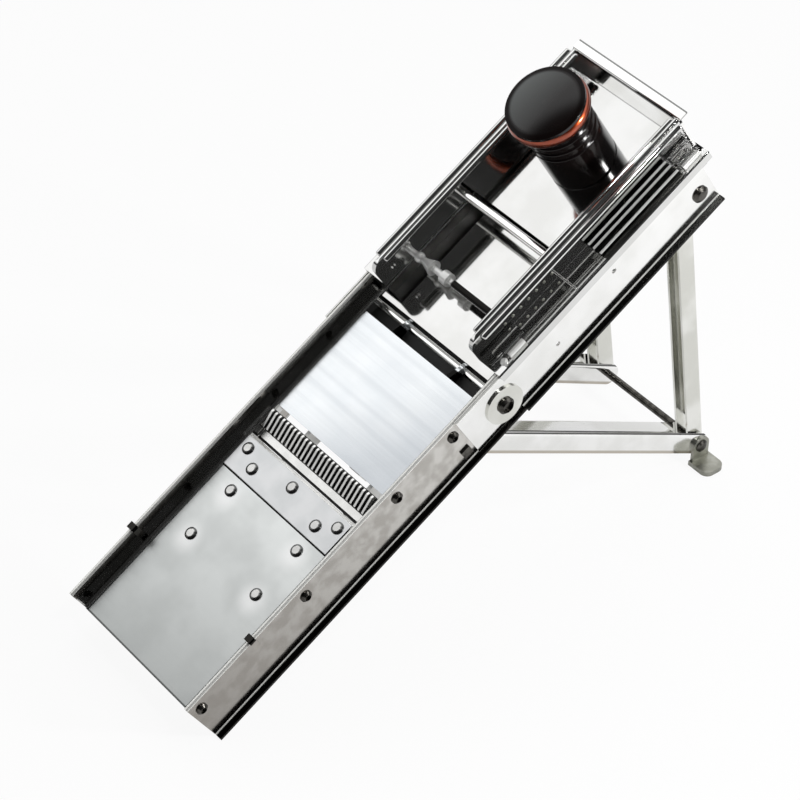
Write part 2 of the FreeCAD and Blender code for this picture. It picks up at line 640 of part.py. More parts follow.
feed_cam_drop = (HINGE_S - FEED_CAM_S) * math.sin(math.radians(FEED_DROP_DEG))
feed_cam_high = -SHEET - CAM_GAP - CAM_N
comb_cam_high = comb_bar_bottom - CAM_GAP - CAM_N
nodes["feed_cam_shaft"] = cam_shaft(FEED_CAM_S, feed_cam_high, feed_cam_drop, FEED_CAM_BACK_R, 1)
nodes["comb_cam_shaft"] = cam_shaft(COMB_CAM_S, comb_cam_high, COMB_DROP, COMB_CAM_BACK_R, -1)


def lever(s, y, degrees):
    angle = math.radians(degrees)
    tip_s = s + LEVER_LENGTH * math.cos(angle)
    tip_n = CAM_N + LEVER_LENGTH * math.sin(angle)
    arm = bar_link(LEVER_TIP_R, s, CAM_N, tip_s, tip_n, y - LEVER_THICK / 2, y + LEVER_THICK / 2)
    arm = arm.fuse(rod(LEVER_HUB_R, s, CAM_N, y - LEVER_THICK / 2, y + LEVER_THICK / 2)).removeSplitter()
    arm = arm.cut(rod(CAM_SHAFT_R + RUN_GAP, s, CAM_N, y - LEVER_THICK, y + LEVER_THICK))
    grip = rod(GRIP_R, tip_s, tip_n, y + LEVER_THICK / 2, y + LEVER_THICK / 2 + GRIP_LENGTH)
    return arm, grip


nodes["feed_lever"], nodes["feed_lever_grip"] = lever(FEED_CAM_S, LEVER_Y, FEED_LEVER_DEG)
comb_arm, comb_grip = lever(COMB_CAM_S, LEVER_Y, COMB_LEVER_DEG)
nodes["comb_lever"] = mirrored(comb_arm)
nodes["comb_lever_grip"] = mirrored(comb_grip)

bracket_start = CLAMP_START + BRACKET_SETBACK
bracket_neck = bed_end - BED_SLOPE
bracket_end = FEED_CAM_S + BRACKET_PAST
bracket = along_y([(bracket_start, BED_BOTTOM), (bracket_neck, BED_BOTTOM), (bracket_neck, BRACKET_TOP),
                   (bracket_end, BRACKET_TOP, BRACKET_R), (bracket_end, BRACKET_BOTTOM, BRACKET_R),
                   (bracket_neck, BRACKET_BOTTOM), (bracket_start, BRACKET_TOP)], BRACKET_IN,
                  BRACKET_IN + BRACKET_THICK)
bracket = cut_all(bracket, [rod(CAM_SHAFT_R + RUN_GAP, s, CAM_N, BRACKET_IN - CUT_OVER, CAM_SHAFT_HALF)
                            for s in (FEED_CAM_S, COMB_CAM_S)])
nodes["cam_brackets"] = group(pair(bracket))

# Screws, stop clips and catch pins of the rails
screws = []
for s in SCREWS:
    screw = headed(SCREW_R, 2 * SHEET, SCREW_HEAD_R, SCREW_HEAD_H, V(s, RAIL_HALF, SCREW_N), FAR)
    screw_top = RAIL_HALF + SCREW_HEAD_H
    screws += pair(screw.cut(rod(SCREW_SOCKET_R, s, SCREW_N, screw_top - SCREW_SOCKET_DEPTH, screw_top)))
nodes["rail_screws"] = group(screws)
hem_in = RAIL_HALF - HEM_WIDTH
clip_low = RAIL_TOP - CLIP_DEPTH
clip_top = RAIL_TOP + CLIP_SHEET
clip_end = CLIP_START + CLIP_LENGTH
clip_outside = along_s([(hem_in - CLIP_SHEET, clip_low), (RAIL_HALF + CLIP_SHEET, clip_low),
                        (RAIL_HALF + CLIP_SHEET, clip_top, CLIP_R), (hem_in - CLIP_SHEET, clip_top, CLIP_R)],
                       CLIP_START, clip_end)
clip_inside = along_s([(hem_in, clip_low), (RAIL_HALF, clip_low), (RAIL_HALF, RAIL_TOP, HEM_R),
                       (hem_in, RAIL_TOP, HEM_R)], CLIP_START, clip_end)
nodes["stop_clips"] = group(pair(clip_outside.cut(clip_inside)))
catch = rod(CATCH_R, CATCH_S, CATCH_N, STRUT_IN - CUT_OVER, RAIL_HALF)
catch_head = block(CATCH_S - CATCH_HEAD / 2, CATCH_S + CATCH_HEAD / 2, RAIL_HALF, RAIL_HALF + CATCH_HEAD_H,
                   CATCH_N - CATCH_HEAD / 2, CATCH_N + CATCH_HEAD / 2)
nodes["strut_catch_pins"] = group(pair(catch.fuse(catch_head).removeSplitter()))

# Leg bolts with spacers between the rail and the leg
leg_bolt = headed(LEG_BOLT_R, UPPER_HALF - LEG_IN, LEG_BOLT_HEAD_R, LEG_BOLT_HEAD_H,
                  V(LEG_S, UPPER_HALF, LEG_N), FAR)
nodes["leg_pivot_bolts"] = group(pair(leg_bolt))
spacer = rod(SPACER_R, LEG_S, LEG_N, LEG_OUT + SLIDE_GAP, RAIL_HALF)
spacer = spacer.cut(rod(LEG_BOLT_R + HOLE_GAP, LEG_S, LEG_N, LEG_OUT, RAIL_HALF))
channel_under = block(0, DECK_LENGTH, LEG_OUT, RAIL_HALF, web_low, RAIL_TOP)
nodes["leg_spacers"] = group(pair(spacer.cut(channel_under)))

# Legs: folded channels open towards the low end, without web at the bolt and at the knee


def inside_links(y0, y1, half, n0, n1):
    """Space between the cheeks of a leg or strut."""
    return block(-2 * half, 2 * half, y0 + SHEET, y1 - SHEET, n0, n1)


leg = folded_link(LEG_HALF_DEPTH, -LEG_LENGTH, LEG_IN, LEG_OUT)
leg_tools = [inside_links(LEG_IN, LEG_OUT, LEG_HALF_DEPTH, -LEG_WEB_CUT, LEG_LENGTH),
             inside_links(LEG_IN, LEG_OUT, LEG_HALF_DEPTH, -2 * LEG_LENGTH, LEG_WEB_CUT - LEG_LENGTH),
             rod(LEG_BOLT_R + RUN_GAP, 0, 0, LEG_IN - CUT_OVER, LEG_OUT + CUT_OVER),
             rod(KNEE_R + HOLE_GAP, 0, -LEG_LENGTH, LEG_IN - CUT_OVER, LEG_OUT + CUT_OVER)]
leg = cut_all(leg, leg_tools)
leg.rotate(V(0, 0, 0), FAR, LEG_LEAN_DEG)
leg.translate(V(LEG_S, 0, LEG_N))
nodes["far_leg"] = leg
nodes["near_leg"] = mirrored(leg)
tab_ear_out = STRUT_OUT + TAB_EAR
knee_pin = rod(KNEE_R, KNEE_S, KNEE_N, -tab_ear_out, tab_ear_out)
knee_heads = [dome(KNEE_HEAD_R, KNEE_HEAD_H, V(KNEE_S, side * tab_ear_out, KNEE_N), V(0, side, 0))
              for side in (-1, 1)]
nodes["knee_rod"] = knee_pin.fuse(knee_heads).removeSplitter()

# Struts: clevis channels over the leg ends, hooked on the catch pins at the top
strut = folded_link(STRUT_HALF_DEPTH, STRUT_LENGTH, STRUT_IN, STRUT_OUT)
strut_tools = [inside_links(STRUT_IN, STRUT_OUT, STRUT_HALF_DEPTH, -STRUT_LENGTH, STRUT_WEB_KNEE_CUT),
               inside_links(STRUT_IN, STRUT_OUT, STRUT_HALF_DEPTH, STRUT_LENGTH - STRUT_WEB_HOOK_CUT,
                            2 * STRUT_LENGTH),
               rod(KNEE_R + RUN_GAP, 0, 0, STRUT_IN - CUT_OVER, STRUT_OUT + CUT_OVER)]
strut = cut_all(strut, strut_tools)
strut.rotate(V(0, 0, 0), FAR, -STRUT_LEAN_DEG)
strut.translate(V(KNEE_S, 0, KNEE_N))
hook_r = CATCH_R + HOOK_GAP
hook_end = CATCH_S + 2 * STRUT_HALF_DEPTH
hook_slot = along_y([(CATCH_S, CATCH_N - hook_r), (hook_end, CATCH_N - hook_r),
                     (hook_end, CATCH_N + hook_r + HOOK_FLARE), (CATCH_S, CATCH_N + hook_r)],
                    STRUT_IN - CUT_OVER, STRUT_OUT + CUT_OVER)
hook_eye = rod(hook_r, CATCH_S, CATCH_N, STRUT_IN - CUT_OVER, STRUT_OUT + CUT_OVER)
strut = cut_all(strut, [hook_slot, hook_eye])
nodes["far_strut"] = strut
nodes["near_strut"] = mirrored(strut)

# Foot tabs: flat on the table, each with an ear against the strut
tab_out = STRUT_OUT + TAB_REACH
tab_plate = outline([(-TAB_LENGTH / 2, STRUT_OUT), (TAB_LENGTH / 2, STRUT_OUT),
                     (TAB_LENGTH / 2, tab_out, TAB_CORNER_R), (-TAB_LENGTH / 2, tab_out, TAB_CORNER_R)],
                    lambda p: V(p.x, p.y, -KNEE_HEIGHT))
tab = tab_plate.extrude(V(0, 0, TAB_THICK))
tab = tab.fuse(block(-TAB_EAR_R, TAB_EAR_R, STRUT_OUT, tab_ear_out, TAB_THICK - KNEE_HEIGHT, 0))
tab = tab.fuse(rod(TAB_EAR_R, 0, 0, STRUT_OUT, tab_ear_out)).removeSplitter()
tab = tab.cut(rod(KNEE_R + RUN_GAP, 0, 0, STRUT_OUT - CUT_OVER, tab_ear_out + CUT_OVER))
tab.rotate(V(0, 0, 0), FAR, math.degrees(TILT))
tab.translate(V(KNEE_S, 0, KNEE_N))
nodes["foot_tabs"] = group(pair(tab))

# Carriage sides: wall with a rounded hem, flange over the rail and a lip outside it
side_section = [(CAR_HALF, FLANGE_N), (LIP_IN, FLANGE_N), (LIP_IN, FLANGE_N - CAR_LIP_DROP),
                (LIP_OUT, FLANGE_N - CAR_LIP_DROP), (LIP_OUT, FLANGE_TOP, CAR_LIP_R),
                (CAR_OUT, FLANGE_TOP, EDGE_R), (CAR_OUT, CAR_TOP - CAR_HEM), (CAR_HEM_OUT, CAR_TOP - CAR_HEM),
                (CAR_HEM_OUT, CAR_TOP, CAR_HEM_R), (CAR_HALF, CAR_TOP, RIM_R)]
side = along_s(side_section, CAR_START, CAR_END)
corner_n = CAR_TOP - CAR_CORNER_R
corner = block(CAR_START - CUT_OVER, CAR_START + CAR_CORNER_R, 0, LIP_OUT, corner_n, CAR_TOP + CUT_OVER)
corner = corner.cut(rod(CAR_CORNER_R, CAR_START + CAR_CORNER_R, corner_n, 0, LIP_OUT))
side = side.cut(corner)
seam_s = CAR_START + SEAM_SETBACK
side = side.fuse(rod(SEAM_R, seam_s, FLANGE_TOP, CAR_OUT, LIP_OUT - CAR_LIP_R)).removeSplitter()
nodes["far_carriage_side"] = side
nodes["near_carriage_side"] = mirrored(side)
end_out = CAR_END + SHEET + END_FLANGE
end_section = [(CAR_END, FLANGE_N), (CAR_END + SHEET, FLANGE_N), (CAR_END + SHEET, CAR_TOP - SHEET),
               (end_out, CAR_TOP - SHEET), (end_out, CAR_TOP), (CAR_END, CAR_TOP, END_BEND_R)]
nodes["carriage_end_wall"] = along_y(end_section, -CAR_HEM_OUT, CAR_HEM_OUT)
plate = block(CAR_START + HANDLE_PLATE_SETBACK, CAR_END, -CAR_HALF, CAR_HALF, FLANGE_N, FLANGE_TOP)
nodes["handle_plate"] = plate.cut(post(HANDLE_SCREW_R + HOLE_GAP, HANDLE_S, 0, FLANGE_N, FLANGE_TOP))
nodes["carriage_cross_bar"] = rod(BAR_R, CAR_START + BAR_SETBACK, BAR_N, -CAR_HALF, CAR_HALF)
spindle = rod(SPINDLE_R, SPINDLE_S, SPINDLE_N, -CAR_HALF, CAR_HALF)
ball_y = CAR_HALF - SPINDLE_BALL_INSET
spindle = spindle.fuse(Part.makeSphere(SPINDLE_BALL_R, V(SPINDLE_S, ball_y, SPINDLE_N)))
spindle = spindle.fuse(Part.makeCone(SPINDLE_CONE_R, SPINDLE_R, SPINDLE_CONE_LENGTH,
                                     V(SPINDLE_S, CAR_HALF - SPINDLE_CONE_INSET, SPINDLE_N), FAR))
boss_y = CAR_HALF - SPINDLE_BOSS_INSET
spindle = spindle.fuse(rod(SPINDLE_BOSS_R, SPINDLE_S, SPINDLE_N, boss_y - SPINDLE_BOSS_LENGTH / 2,
                           boss_y + SPINDLE_BOSS_LENGTH / 2))
nodes["carriage_spindle"] = spindle.removeSplitter()

# Runners in the channels, shoes, bars and strips on the flanges
runner = block(CAR_START + RUNNER_SETBACK, CAR_END - RUNNER_SETBACK, RUNNER_IN, RUNNER_OUT, RUNNER_BOTTOM,
               FLANGE_N)
nodes["carriage_runners"] = group(pair(runner))
shoe_in = CAR_OUT + SHOE_GAP
shoe_out = shoe_in + SHOE_WIDTH
shoe_top = FLANGE_TOP + SHOE_HIGH
shoes = []
for s0, s1 in SHOE_SPANS:
    shoes += pair(along_s([(shoe_in, FLANGE_TOP), (shoe_out, FLANGE_TOP), (shoe_out, shoe_top, EDGE_R),
                           (shoe_in, shoe_top, EDGE_R)], CAR_START + s0, CAR_START + s1))
nodes["guide_shoes"] = group(shoes)
shoe_screw_spot = V(CAR_START + SHOE_SPANS[0][0] + SHOE_SCREW_OFFSET, LIP_OUT - SHOE_SCREW_INSET, FLANGE_TOP)
nodes["shoe_screws"] = group(pair(dome(SHOE_SCREW_R, SHOE_SCREW_H, shoe_screw_spot, UP)))
bars = []
for s0, s1 in GUIDE_BAR_SPANS:
    bar = Part.makeCylinder(GUIDE_BAR_R, s1 - s0, V(CAR_START + s0, LIP_OUT - GUIDE_BAR_INSET,
                                                    FLANGE_TOP + GUIDE_BAR_R - GUIDE_BAR_SINK), V(1, 0, 0))
    bars += pair(bar.cut(block(CAR_START, CAR_END, CAR_OUT, LIP_OUT, FLANGE_N, FLANGE_TOP)))
nodes["guide_bars"] = group(bars)
strip_start, strip_end = [CAR_START + s for s in STRIP_SPAN]
strip_top = FLANGE_TOP + STRIP_THICK
ridge_top = strip_top + STRIP_RIDGE_HIGH
strip = block(strip_start, strip_end, shoe_in, LIP_OUT - CAR_LIP_R, FLANGE_TOP, strip_top)
for y in [CAR_OUT + setback for setback in STRIP_RIDGES]:
    strip = strip.fuse(along_s([(y - STRIP_RIDGE_HALF, FLANGE_TOP), (y + STRIP_RIDGE_HALF, FLANGE_TOP),
                                (y + STRIP_RIDGE_HALF, ridge_top, EDGE_R),
                                (y - STRIP_RIDGE_HALF, ridge_top, EDGE_R)], strip_start, strip_end))
nodes["wear_strips"] = group(pair(strip.removeSplitter()))
wall_rivets = []
for i in range(WALL_RIVET_COUNT):
    spot = V(CAR_START + WALL_RIVET_SETBACK + i * WALL_RIVET_PITCH, CAR_OUT, WALL_RIVET_N)
    wall_rivets += pair(dome(WALL_RIVET_R, WALL_RIVET_H, spot, FAR))
nodes["wall_rivets"] = group(wall_rivets)
corner_s = CAR_START + CORNER_RIVET_SETBACK
hem_spot = V(corner_s, CAR_HEM_OUT, CAR_TOP - CORNER_RIVET_DROP)
wall_spot = V(corner_s, CAR_HALF, WALL_RIVET_N)
corner_rivets = pair(dome(CORNER_RIVET_R, CORNER_RIVET_H, hem_spot, FAR))
corner_rivets += pair(dome(CORNER_RIVET_R, CORNER_RIVET_H, wall_spot, FAR * -1))
nodes["corner_rivets"] = group(corner_rivets)

# Handle: ribbed body, wide domed head and the screw that holds them
groove_r = HANDLE_BODY_R - HANDLE_GROOVE
body = [(0, FLANGE_TOP), (HANDLE_BODY_R, FLANGE_TOP, HANDLE_FOOT_R)]
for i in range(HANDLE_RIB_COUNT):
    start = HANDLE_RIB_START + i * HANDLE_RIB_PITCH
    body += [(HANDLE_BODY_R, start, HANDLE_RIB_R), (groove_r, start + HANDLE_GROOVE_WIDTH / 2),
             (HANDLE_BODY_R, start + HANDLE_GROOVE_WIDTH, HANDLE_RIB_R)]
body += [(HANDLE_BODY_R, HANDLE_HEAD_START - HANDLE_NECK_HIGH, HANDLE_RIB_R),
         (HANDLE_NECK_R, HANDLE_HEAD_START), (0, HANDLE_HEAD_START)]
grip_body = turned(body, V(HANDLE_S, 0, 0), UP)
nodes["handle_body"] = grip_body.cut(post(HANDLE_SCREW_R + HOLE_GAP, HANDLE_S, 0, 0, HANDLE_SCREW_END))
head = turned([(0, HANDLE_HEAD_START), (HANDLE_NECK_R, HANDLE_HEAD_START),
               (HANDLE_HEAD_R, HANDLE_HEAD_START + HANDLE_HEAD_FLARE, HANDLE_UNDER_R),
               (HANDLE_HEAD_R, HANDLE_TOP, HANDLE_RIM_R), (0, HANDLE_TOP)], V(HANDLE_S, 0, 0), UP)
head_dome = Part.makeSphere(HANDLE_DOME_R, V(HANDLE_S, 0, HANDLE_TOP - HANDLE_DOME_R))
nodes["handle_head"] = head.common(head_dome)
handle_screw = post(HANDLE_SCREW_R, HANDLE_S, 0, FLANGE_N, HANDLE_SCREW_END - HANDLE_SCREW_SHORT)
screw_low = FLANGE_N - HANDLE_SCREW_HEAD_H
handle_screw = handle_screw.fuse(post(HANDLE_SCREW_HEAD_R, HANDLE_S, 0, screw_low, FLANGE_N))
nodes["handle_screw"] = handle_screw.removeSplitter()

# Tilt onto the stand and set the origin at the middle of the footprint
for shape in nodes.values():
    shape.rotate(V(0, 0, 0), FAR, -math.degrees(TILT))
box = group(list(nodes.values())).BoundBox
shift = V(-(box.XMin + box.XMax) / 2, -(box.YMin + box.YMax) / 2, -box.ZMin)
os.makedirs("parts", exist_ok=True)
for name, shape in nodes.items():
    shape.translate(shift)
    shape.exportStep("parts/" + name + ".step")
print(len(nodes), "nodes, tilt", round(math.degrees(TILT), 3), "shift", shift)
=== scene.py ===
# %% [markdown]
# # A stainless mandoline slicer on its folding stand
# The imported construction is the fixed frame of this scene: every sheet, rivet and rod is already
# there, at its real size in metres. This file gives the metal and the handle their finish, adds the
# rolled edges of the carriage and the copper band of the handle, which are too fine for the
# construction, sets the light and places the camera.

# %% Load the imported model
import json
import math

import bpy
from mathutils import Euler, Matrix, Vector


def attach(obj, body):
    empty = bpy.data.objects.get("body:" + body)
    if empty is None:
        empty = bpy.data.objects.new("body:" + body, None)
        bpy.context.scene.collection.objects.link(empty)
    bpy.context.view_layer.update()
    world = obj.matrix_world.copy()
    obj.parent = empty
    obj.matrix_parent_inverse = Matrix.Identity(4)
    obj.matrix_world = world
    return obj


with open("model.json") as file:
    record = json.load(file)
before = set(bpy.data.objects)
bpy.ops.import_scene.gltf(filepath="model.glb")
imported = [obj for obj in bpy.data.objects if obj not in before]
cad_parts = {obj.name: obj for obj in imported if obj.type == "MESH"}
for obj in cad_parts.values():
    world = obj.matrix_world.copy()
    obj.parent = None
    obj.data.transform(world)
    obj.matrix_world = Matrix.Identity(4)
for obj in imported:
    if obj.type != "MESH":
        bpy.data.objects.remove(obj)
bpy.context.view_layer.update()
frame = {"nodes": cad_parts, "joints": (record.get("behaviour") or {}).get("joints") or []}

nodes = frame["nodes"]

# %% [markdown]
# ## The camera
# The picture was taken from above the low end, on the near side, through a long lens. A long lens
# keeps the rails almost parallel, so the angle of view is small and the camera stands far away.
# Place, turn and focal length belong together: they were fitted to the picture in one go.

# %% Camera
SENSOR_WIDTH = 36.0
FOCAL_LENGTH = 133.41
CAMERA_PLACE = (-0.7627, -0.94308, 1.13934)
CAMERA_TURN = (49.57, -0.719, -38.145)

camera_data = bpy.data.cameras.new("photo_camera")
camera_data.sensor_width = SENSOR_WIDTH
camera_data.lens = FOCAL_LENGTH
camera = bpy.data.objects.new("photo_camera", camera_data)
bpy.context.scene.collection.objects.link(camera)
camera.location = CAMERA_PLACE
camera.rotation_euler = Euler([math.radians(angle) for angle in CAMERA_TURN], "XYZ")
bpy.context.scene.camera = camera
bpy.context.scene.view_settings.view_transform = "Standard"
print("camera at", [round(v, 3) for v in camera.location], "lens", FOCAL_LENGTH)

# %% [markdown]
# ## Helpers for the materials
# Colours are written as sRGB hex values, as a paint chart gives them, and one function turns them
# to linear light. Another small function adds a node with its settings and links, so that a
# material reads as a list of steps.


# %% Colour and node helpers
def linear(hex_colour):
    """Linear colour of an sRGB hex value such as #DCDCDB."""
    values = [int(hex_colour[i:i + 2], 16) / 255 for i in (1, 3, 5)]
    return [v / 12.92 if v <= 0.04045 else ((v + 0.055) / 1.055) ** 2.4 for v in values] + [1.0]


def add_node(tree, kind, settings=None, links=None):
    """Adds a node; settings set its properties and sockets, links join other sockets to its own."""
    node = tree.nodes.new(kind)
    for key, value in (settings or {}).items():
        if isinstance(key, str) and hasattr(node, key):
            setattr(node, key, value)
        else:
            node.inputs[key].default_value = value
    for key, source in (links or {}).items():
        tree.links.new(source, node.inputs[key])
    return node


def new_material(name):
    """Starts a material; gives it with its node tree and its Principled shader."""
    material = bpy.data.materials.new(name)
    material.use_nodes = True
    tree = material.node_tree
    print("finish:", name)
    return material, tree, tree.nodes["Principled BSDF"]


print("#808080 is", round(linear("#808080")[0], 3), "in linear light")

# %% [markdown]
# ## Places on the tilted deck
# The deck leans, but its patterns follow the sheet. Object coordinates are turned by the tilt and
# moved to the low end of the deck, so that x runs uphill along it, y across it and z square to it,
# with z = 0 on the plates. A pattern can then be placed by the same measures as the construction.
# The tilt is read from the joint that the carriage slides on.

# %% Deck coordinates
slide = [joint for joint in frame["joints"] if joint["name"] == "carriage_slide"][0]
DECK_TILT = math.asin(-slide["axis"][2])
LOW_END = Vector((-0.18152, 0.0, 0.02138))
UPHILL = Vector((math.cos(DECK_TILT), 0, math.sin(DECK_TILT)))
SQUARE = Vector((-math.sin(DECK_TILT), 0, math.cos(DECK_TILT)))
print("deck tilt in degrees:", round(math.degrees(DECK_TILT), 2))


def deck_coordinates(tree):
    """Object coordinates turned and moved to measure along, across and square to the deck."""
    place = add_node(tree, "ShaderNodeTexCoord")
    return add_node(tree, "ShaderNodeMapping",
                    {"vector_type": "POINT", "Rotation": (0, DECK_TILT, 0),
                     "Location": (-LOW_END.dot(UPHILL), 0, -LOW_END.dot(SQUARE))},
                    {"Vector": place.outputs["Object"]})


# %% [markdown]
# ## Rolled stainless steel
# Nearly everything here is rolled stainless sheet. A metal mirrors its surroundings; what differs
# from sheet to sheet is how sharply. Fine lines left by the rolls run one way and change the
# roughness a little, and wiping leaves soft clouds that dull the colour. One function makes all the
# steels, from a polished sheet to a satin one, with the spacing of lines and clouds in millimetres.

# %% Steel function
MM = 0.001
LINE_LENGTH = 50  # a roll line is this many times as long as it is wide


def rolled_steel(name, colour, cloud_colour, roughness, spread, line_mm, cloud_mm, across=False):
    """Steel with roll lines along the deck, or across it, and soft clouds of a second colour."""
    material, tree, shader = new_material(name)
    shader.inputs["Metallic"].default_value = 1.0
    place = deck_coordinates(tree)
    fine = 1 / (line_mm * MM)
    drawn_out = fine / LINE_LENGTH
    stretch = (fine, drawn_out, fine) if across else (drawn_out, fine, fine)
    scaled = add_node(tree, "ShaderNodeVectorMath", {"operation": "MULTIPLY", 1: stretch},
                      {0: place.outputs[0]})
    lines = add_node(tree, "ShaderNodeTexNoise", {"Scale": 1.0, "Detail": 3.0},
                     {"Vector": scaled.outputs[0]})
    rough = add_node(tree, "ShaderNodeMapRange",
                     {"To Min": roughness - spread, "To Max": roughness + spread},
                     {"Value": lines.outputs["Fac"]})
    tree.links.new(rough.outputs[0], shader.inputs["Roughness"])
    cloud = add_node(tree, "ShaderNodeTexNoise", {"Scale": 1 / (cloud_mm * MM), "Detail": 3.0},
                     {"Vector": place.outputs[0]})
    soft = add_node(tree, "ShaderNodeMapRange",
                    {"interpolation_type": "SMOOTHSTEP", "From Min": 0.35, "From Max": 0.65},
                    {"Value": cloud.outputs["Fac"]})
    tint = add_node(tree, "ShaderNodeMix",
                    {"data_type": "RGBA", 6: linear(cloud_colour), 7: linear(colour)},
                    {0: soft.outputs[0]})
    tree.links.new(tint.outputs[2], shader.inputs["Base Color"])
    measures = add_node(tree, "ShaderNodeSeparateXYZ", {}, {0: place.outputs[0]})
    return material, tree, shader, tint, measures


# %% [markdown]
# ## Plain steels
# The channels, the upper plate and most of the carriage are polished like a mirror. The legs and
# the discs at the hinge are a brighter sheet. Braces, shafts and runners keep a satin face. Screw
# heads and catches are darker, as if tumbled in oil, and the foot tabs are dull. Drawn rods are
# brighter again. The guide bars are blasted and tinned: partly a white coat, partly metal. The
# clamp strip is brushed, and the blade and the comb are ground, with fine lines across the deck.

# %% Polished, bright, satin and dark steel
TIN_METAL = 0.4  # how much of the tinned face still mirrors like a metal

# Colours of sheet and clouds, roughness and its spread, spacing of lines and clouds.
polished = rolled_steel("polished_stainless_sheet", "#DCDCDB", "#D3D3D1", 0.07, 0.012, 0.6, 30)[0]
bright = rolled_steel("bright_rolled_sheet", "#E9E9E5", "#D5D5CF", 0.15, 0.05, 0.8, 30)[0]
satin = rolled_steel("satin_stainless_bar", "#CFCFCD", "#BDBDBA", 0.32, 0.06, 0.5, 15)[0]
bright_rod = rolled_steel("bright_drawn_rod", "#F6F6F5", "#ECECEA", 0.1, 0.02, 0.5, 12)[0]
dark_steel = rolled_steel("oil_blackened_steel", "#5C5A56", "#3E3C39", 0.24, 0.08, 0.5, 4)[0]
tab_steel = rolled_steel("dull_foot_tab_steel", "#A6A69E", "#8E8E86", 0.34, 0.06, 0.6, 8)[0]
ground = rolled_steel("ground_blade_steel", "#E4E4E2", "#D6D6D4", 0.22, 0.008, 0.3, 10, True)[0]
clamp = rolled_steel("brushed_clamp_strip", "#DDDEDF", "#D1D3D4", 0.3, 0.01, 0.4, 18, True)[0]
white_rod, _, tin = rolled_steel("tin_white_rod", "#F6F6F4", "#E8E8E5", 0.3, 0.05, 0.5, 12)[:3]
tin.inputs["Metallic"].default_value = TIN_METAL

# %% [markdown]
# ## Landing plate
# Slices drop on the landing plate, and wiping has left it satin, with soft lighter clouds. It is
# darker towards its low end, which is painted shade, and its cut edge there is dark. A tone like
# this changes along one measure, and the same kind of step comes back on many pieces, so it has a
# function. Round the rivets the sheet is lightened, most of all just below them, as painted
# highlights. The rivets lie in two rows and are mirrored across the deck, so the distance to them
# is measured in folded coordinates.


# %% Tone function
def tone(tree, base, measure, start, stop, colour, at_start=1.0, at_stop=0.0):
    """Mixes a colour into the base; its share changes between two places, in millimetres."""
    share = add_node(tree, "ShaderNodeMapRange",
                     {"From Min": start * MM, "From Max": stop * MM,
                      "To Min": at_start, "To Max": at_stop}, {"Value": measure})
    return add_node(tree, "ShaderNodeMix", {"data_type": "RGBA", 7: linear(colour)},
                    {0: share.outputs[0], 6: base.outputs[2]})


# %% Wiped satin plate
HIGHLIGHT_ROWS = (64.7, 95.9)
HIGHLIGHT_OUT = 29.5
HIGHLIGHT_REACH = 12.5

landing, tree, shader, tint, measures = rolled_steel(
    "wiped_satin_plate", "#E7EAE9", "#D6D9D8", 0.33, 0.05, 0.5, 34, True)
# Painted shade: the plate is darker towards its low end.
low_end_shade = tone(tree, tint, measures.outputs["X"], 0, 105, "#9EA1A0", at_start=0.7)
folded = add_node(tree, "ShaderNodeVectorMath", {"operation": "ABSOLUTE"},
                  {0: deck_coordinates(tree).outputs[0]})
# Painted highlights: the sheet is lightened round the rivets, most of all just below them.
to_rows = [add_node(tree, "ShaderNodeVectorMath",
                    {"operation": "DISTANCE", 1: (row * MM, HIGHLIGHT_OUT * MM, 0.0)},
                    {0: folded.outputs[0]}) for row in HIGHLIGHT_ROWS]
nearest = add_node(tree, "ShaderNodeMath", {"operation": "MINIMUM"},
                   {i: distance.outputs["Value"] for i, distance in enumerate(to_rows)})
halo = add_node(tree, "ShaderNodeMapRange",
                {"interpolation_type": "SMOOTHSTEP", "From Min": 1 * MM,
                 "From Max": HIGHLIGHT_REACH * MM, "To Min": 0.55, "To Max": 0.0},
                {"Value": nearest.outputs[0]})
rivet_highlights = add_node(tree, "ShaderNodeMix", {"data_type": "RGBA", 7: linear("#FFFFFF")},
                     {0: halo.outputs[0], 6: low_end_shade.outputs[2]})
edged = tone(tree, rivet_highlights, measures.outputs["X"], 0.8, 1.2, "#5F6160")
tree.links.new(edged.outputs[2], shader.inputs["Base Color"])

# %% [markdown]
# ## Feed plate
# The feed plate is brighter and a little blue, with faint darker bands across it, which are painted
# reflections, and it is darker towards the near corner at the blade, which is painted shade. Noise
# that changes only along the deck gives the bands. The underside and the arms of the ears lie in
# the dark of the hinge gap, and painted shade makes them nearly black, up to the knuckles on the
# rod.

# %% Banded feed plate
BAND_SPACING = 7.0
UNDERSIDE = (-1.6, -1.4)
ARM_END = (225.8, 226.4)

feed, tree, shader, tint, measures = rolled_steel(
    "banded_feed_plate", "#E7EAEC", "#E0E4E7", 0.2, 0.05, 1.2, 30, True)
# Painted reflections: faint darker bands across the plate.
spaced = add_node(tree, "ShaderNodeMath", {"operation": "MULTIPLY", 1: 1 / (BAND_SPACING * MM)},
                  {0: measures.outputs["X"]})
bands = add_node(tree, "ShaderNodeTexNoise",
                 {"noise_dimensions": "1D", "Scale": 1.0, "Detail": 2.0}, {"W": spaced.outputs[0]})
faint = add_node(tree, "ShaderNodeMapRange",
                 {"From Min": 0.45, "From Max": 0.7, "To Min": 0.0, "To Max": 0.3},
                 {"Value": bands.outputs["Fac"]})
painted_light_mix = add_node(tree, "ShaderNodeMix", {"data_type": "RGBA", 7: linear("#BFC4C9")},
                  {0: faint.outputs[0], 6: tint.outputs[2]})
# Painted shade: darker towards the near corner at the blade.
corner = add_node(tree, "ShaderNodeMath", {"operation": "ADD"},
                  {0: measures.outputs["X"], 1: measures.outputs["Y"]})
corner_shade = tone(tree, painted_light_mix, corner.outputs[0], 130, 190, "#A9AEB4", at_start=0.65)
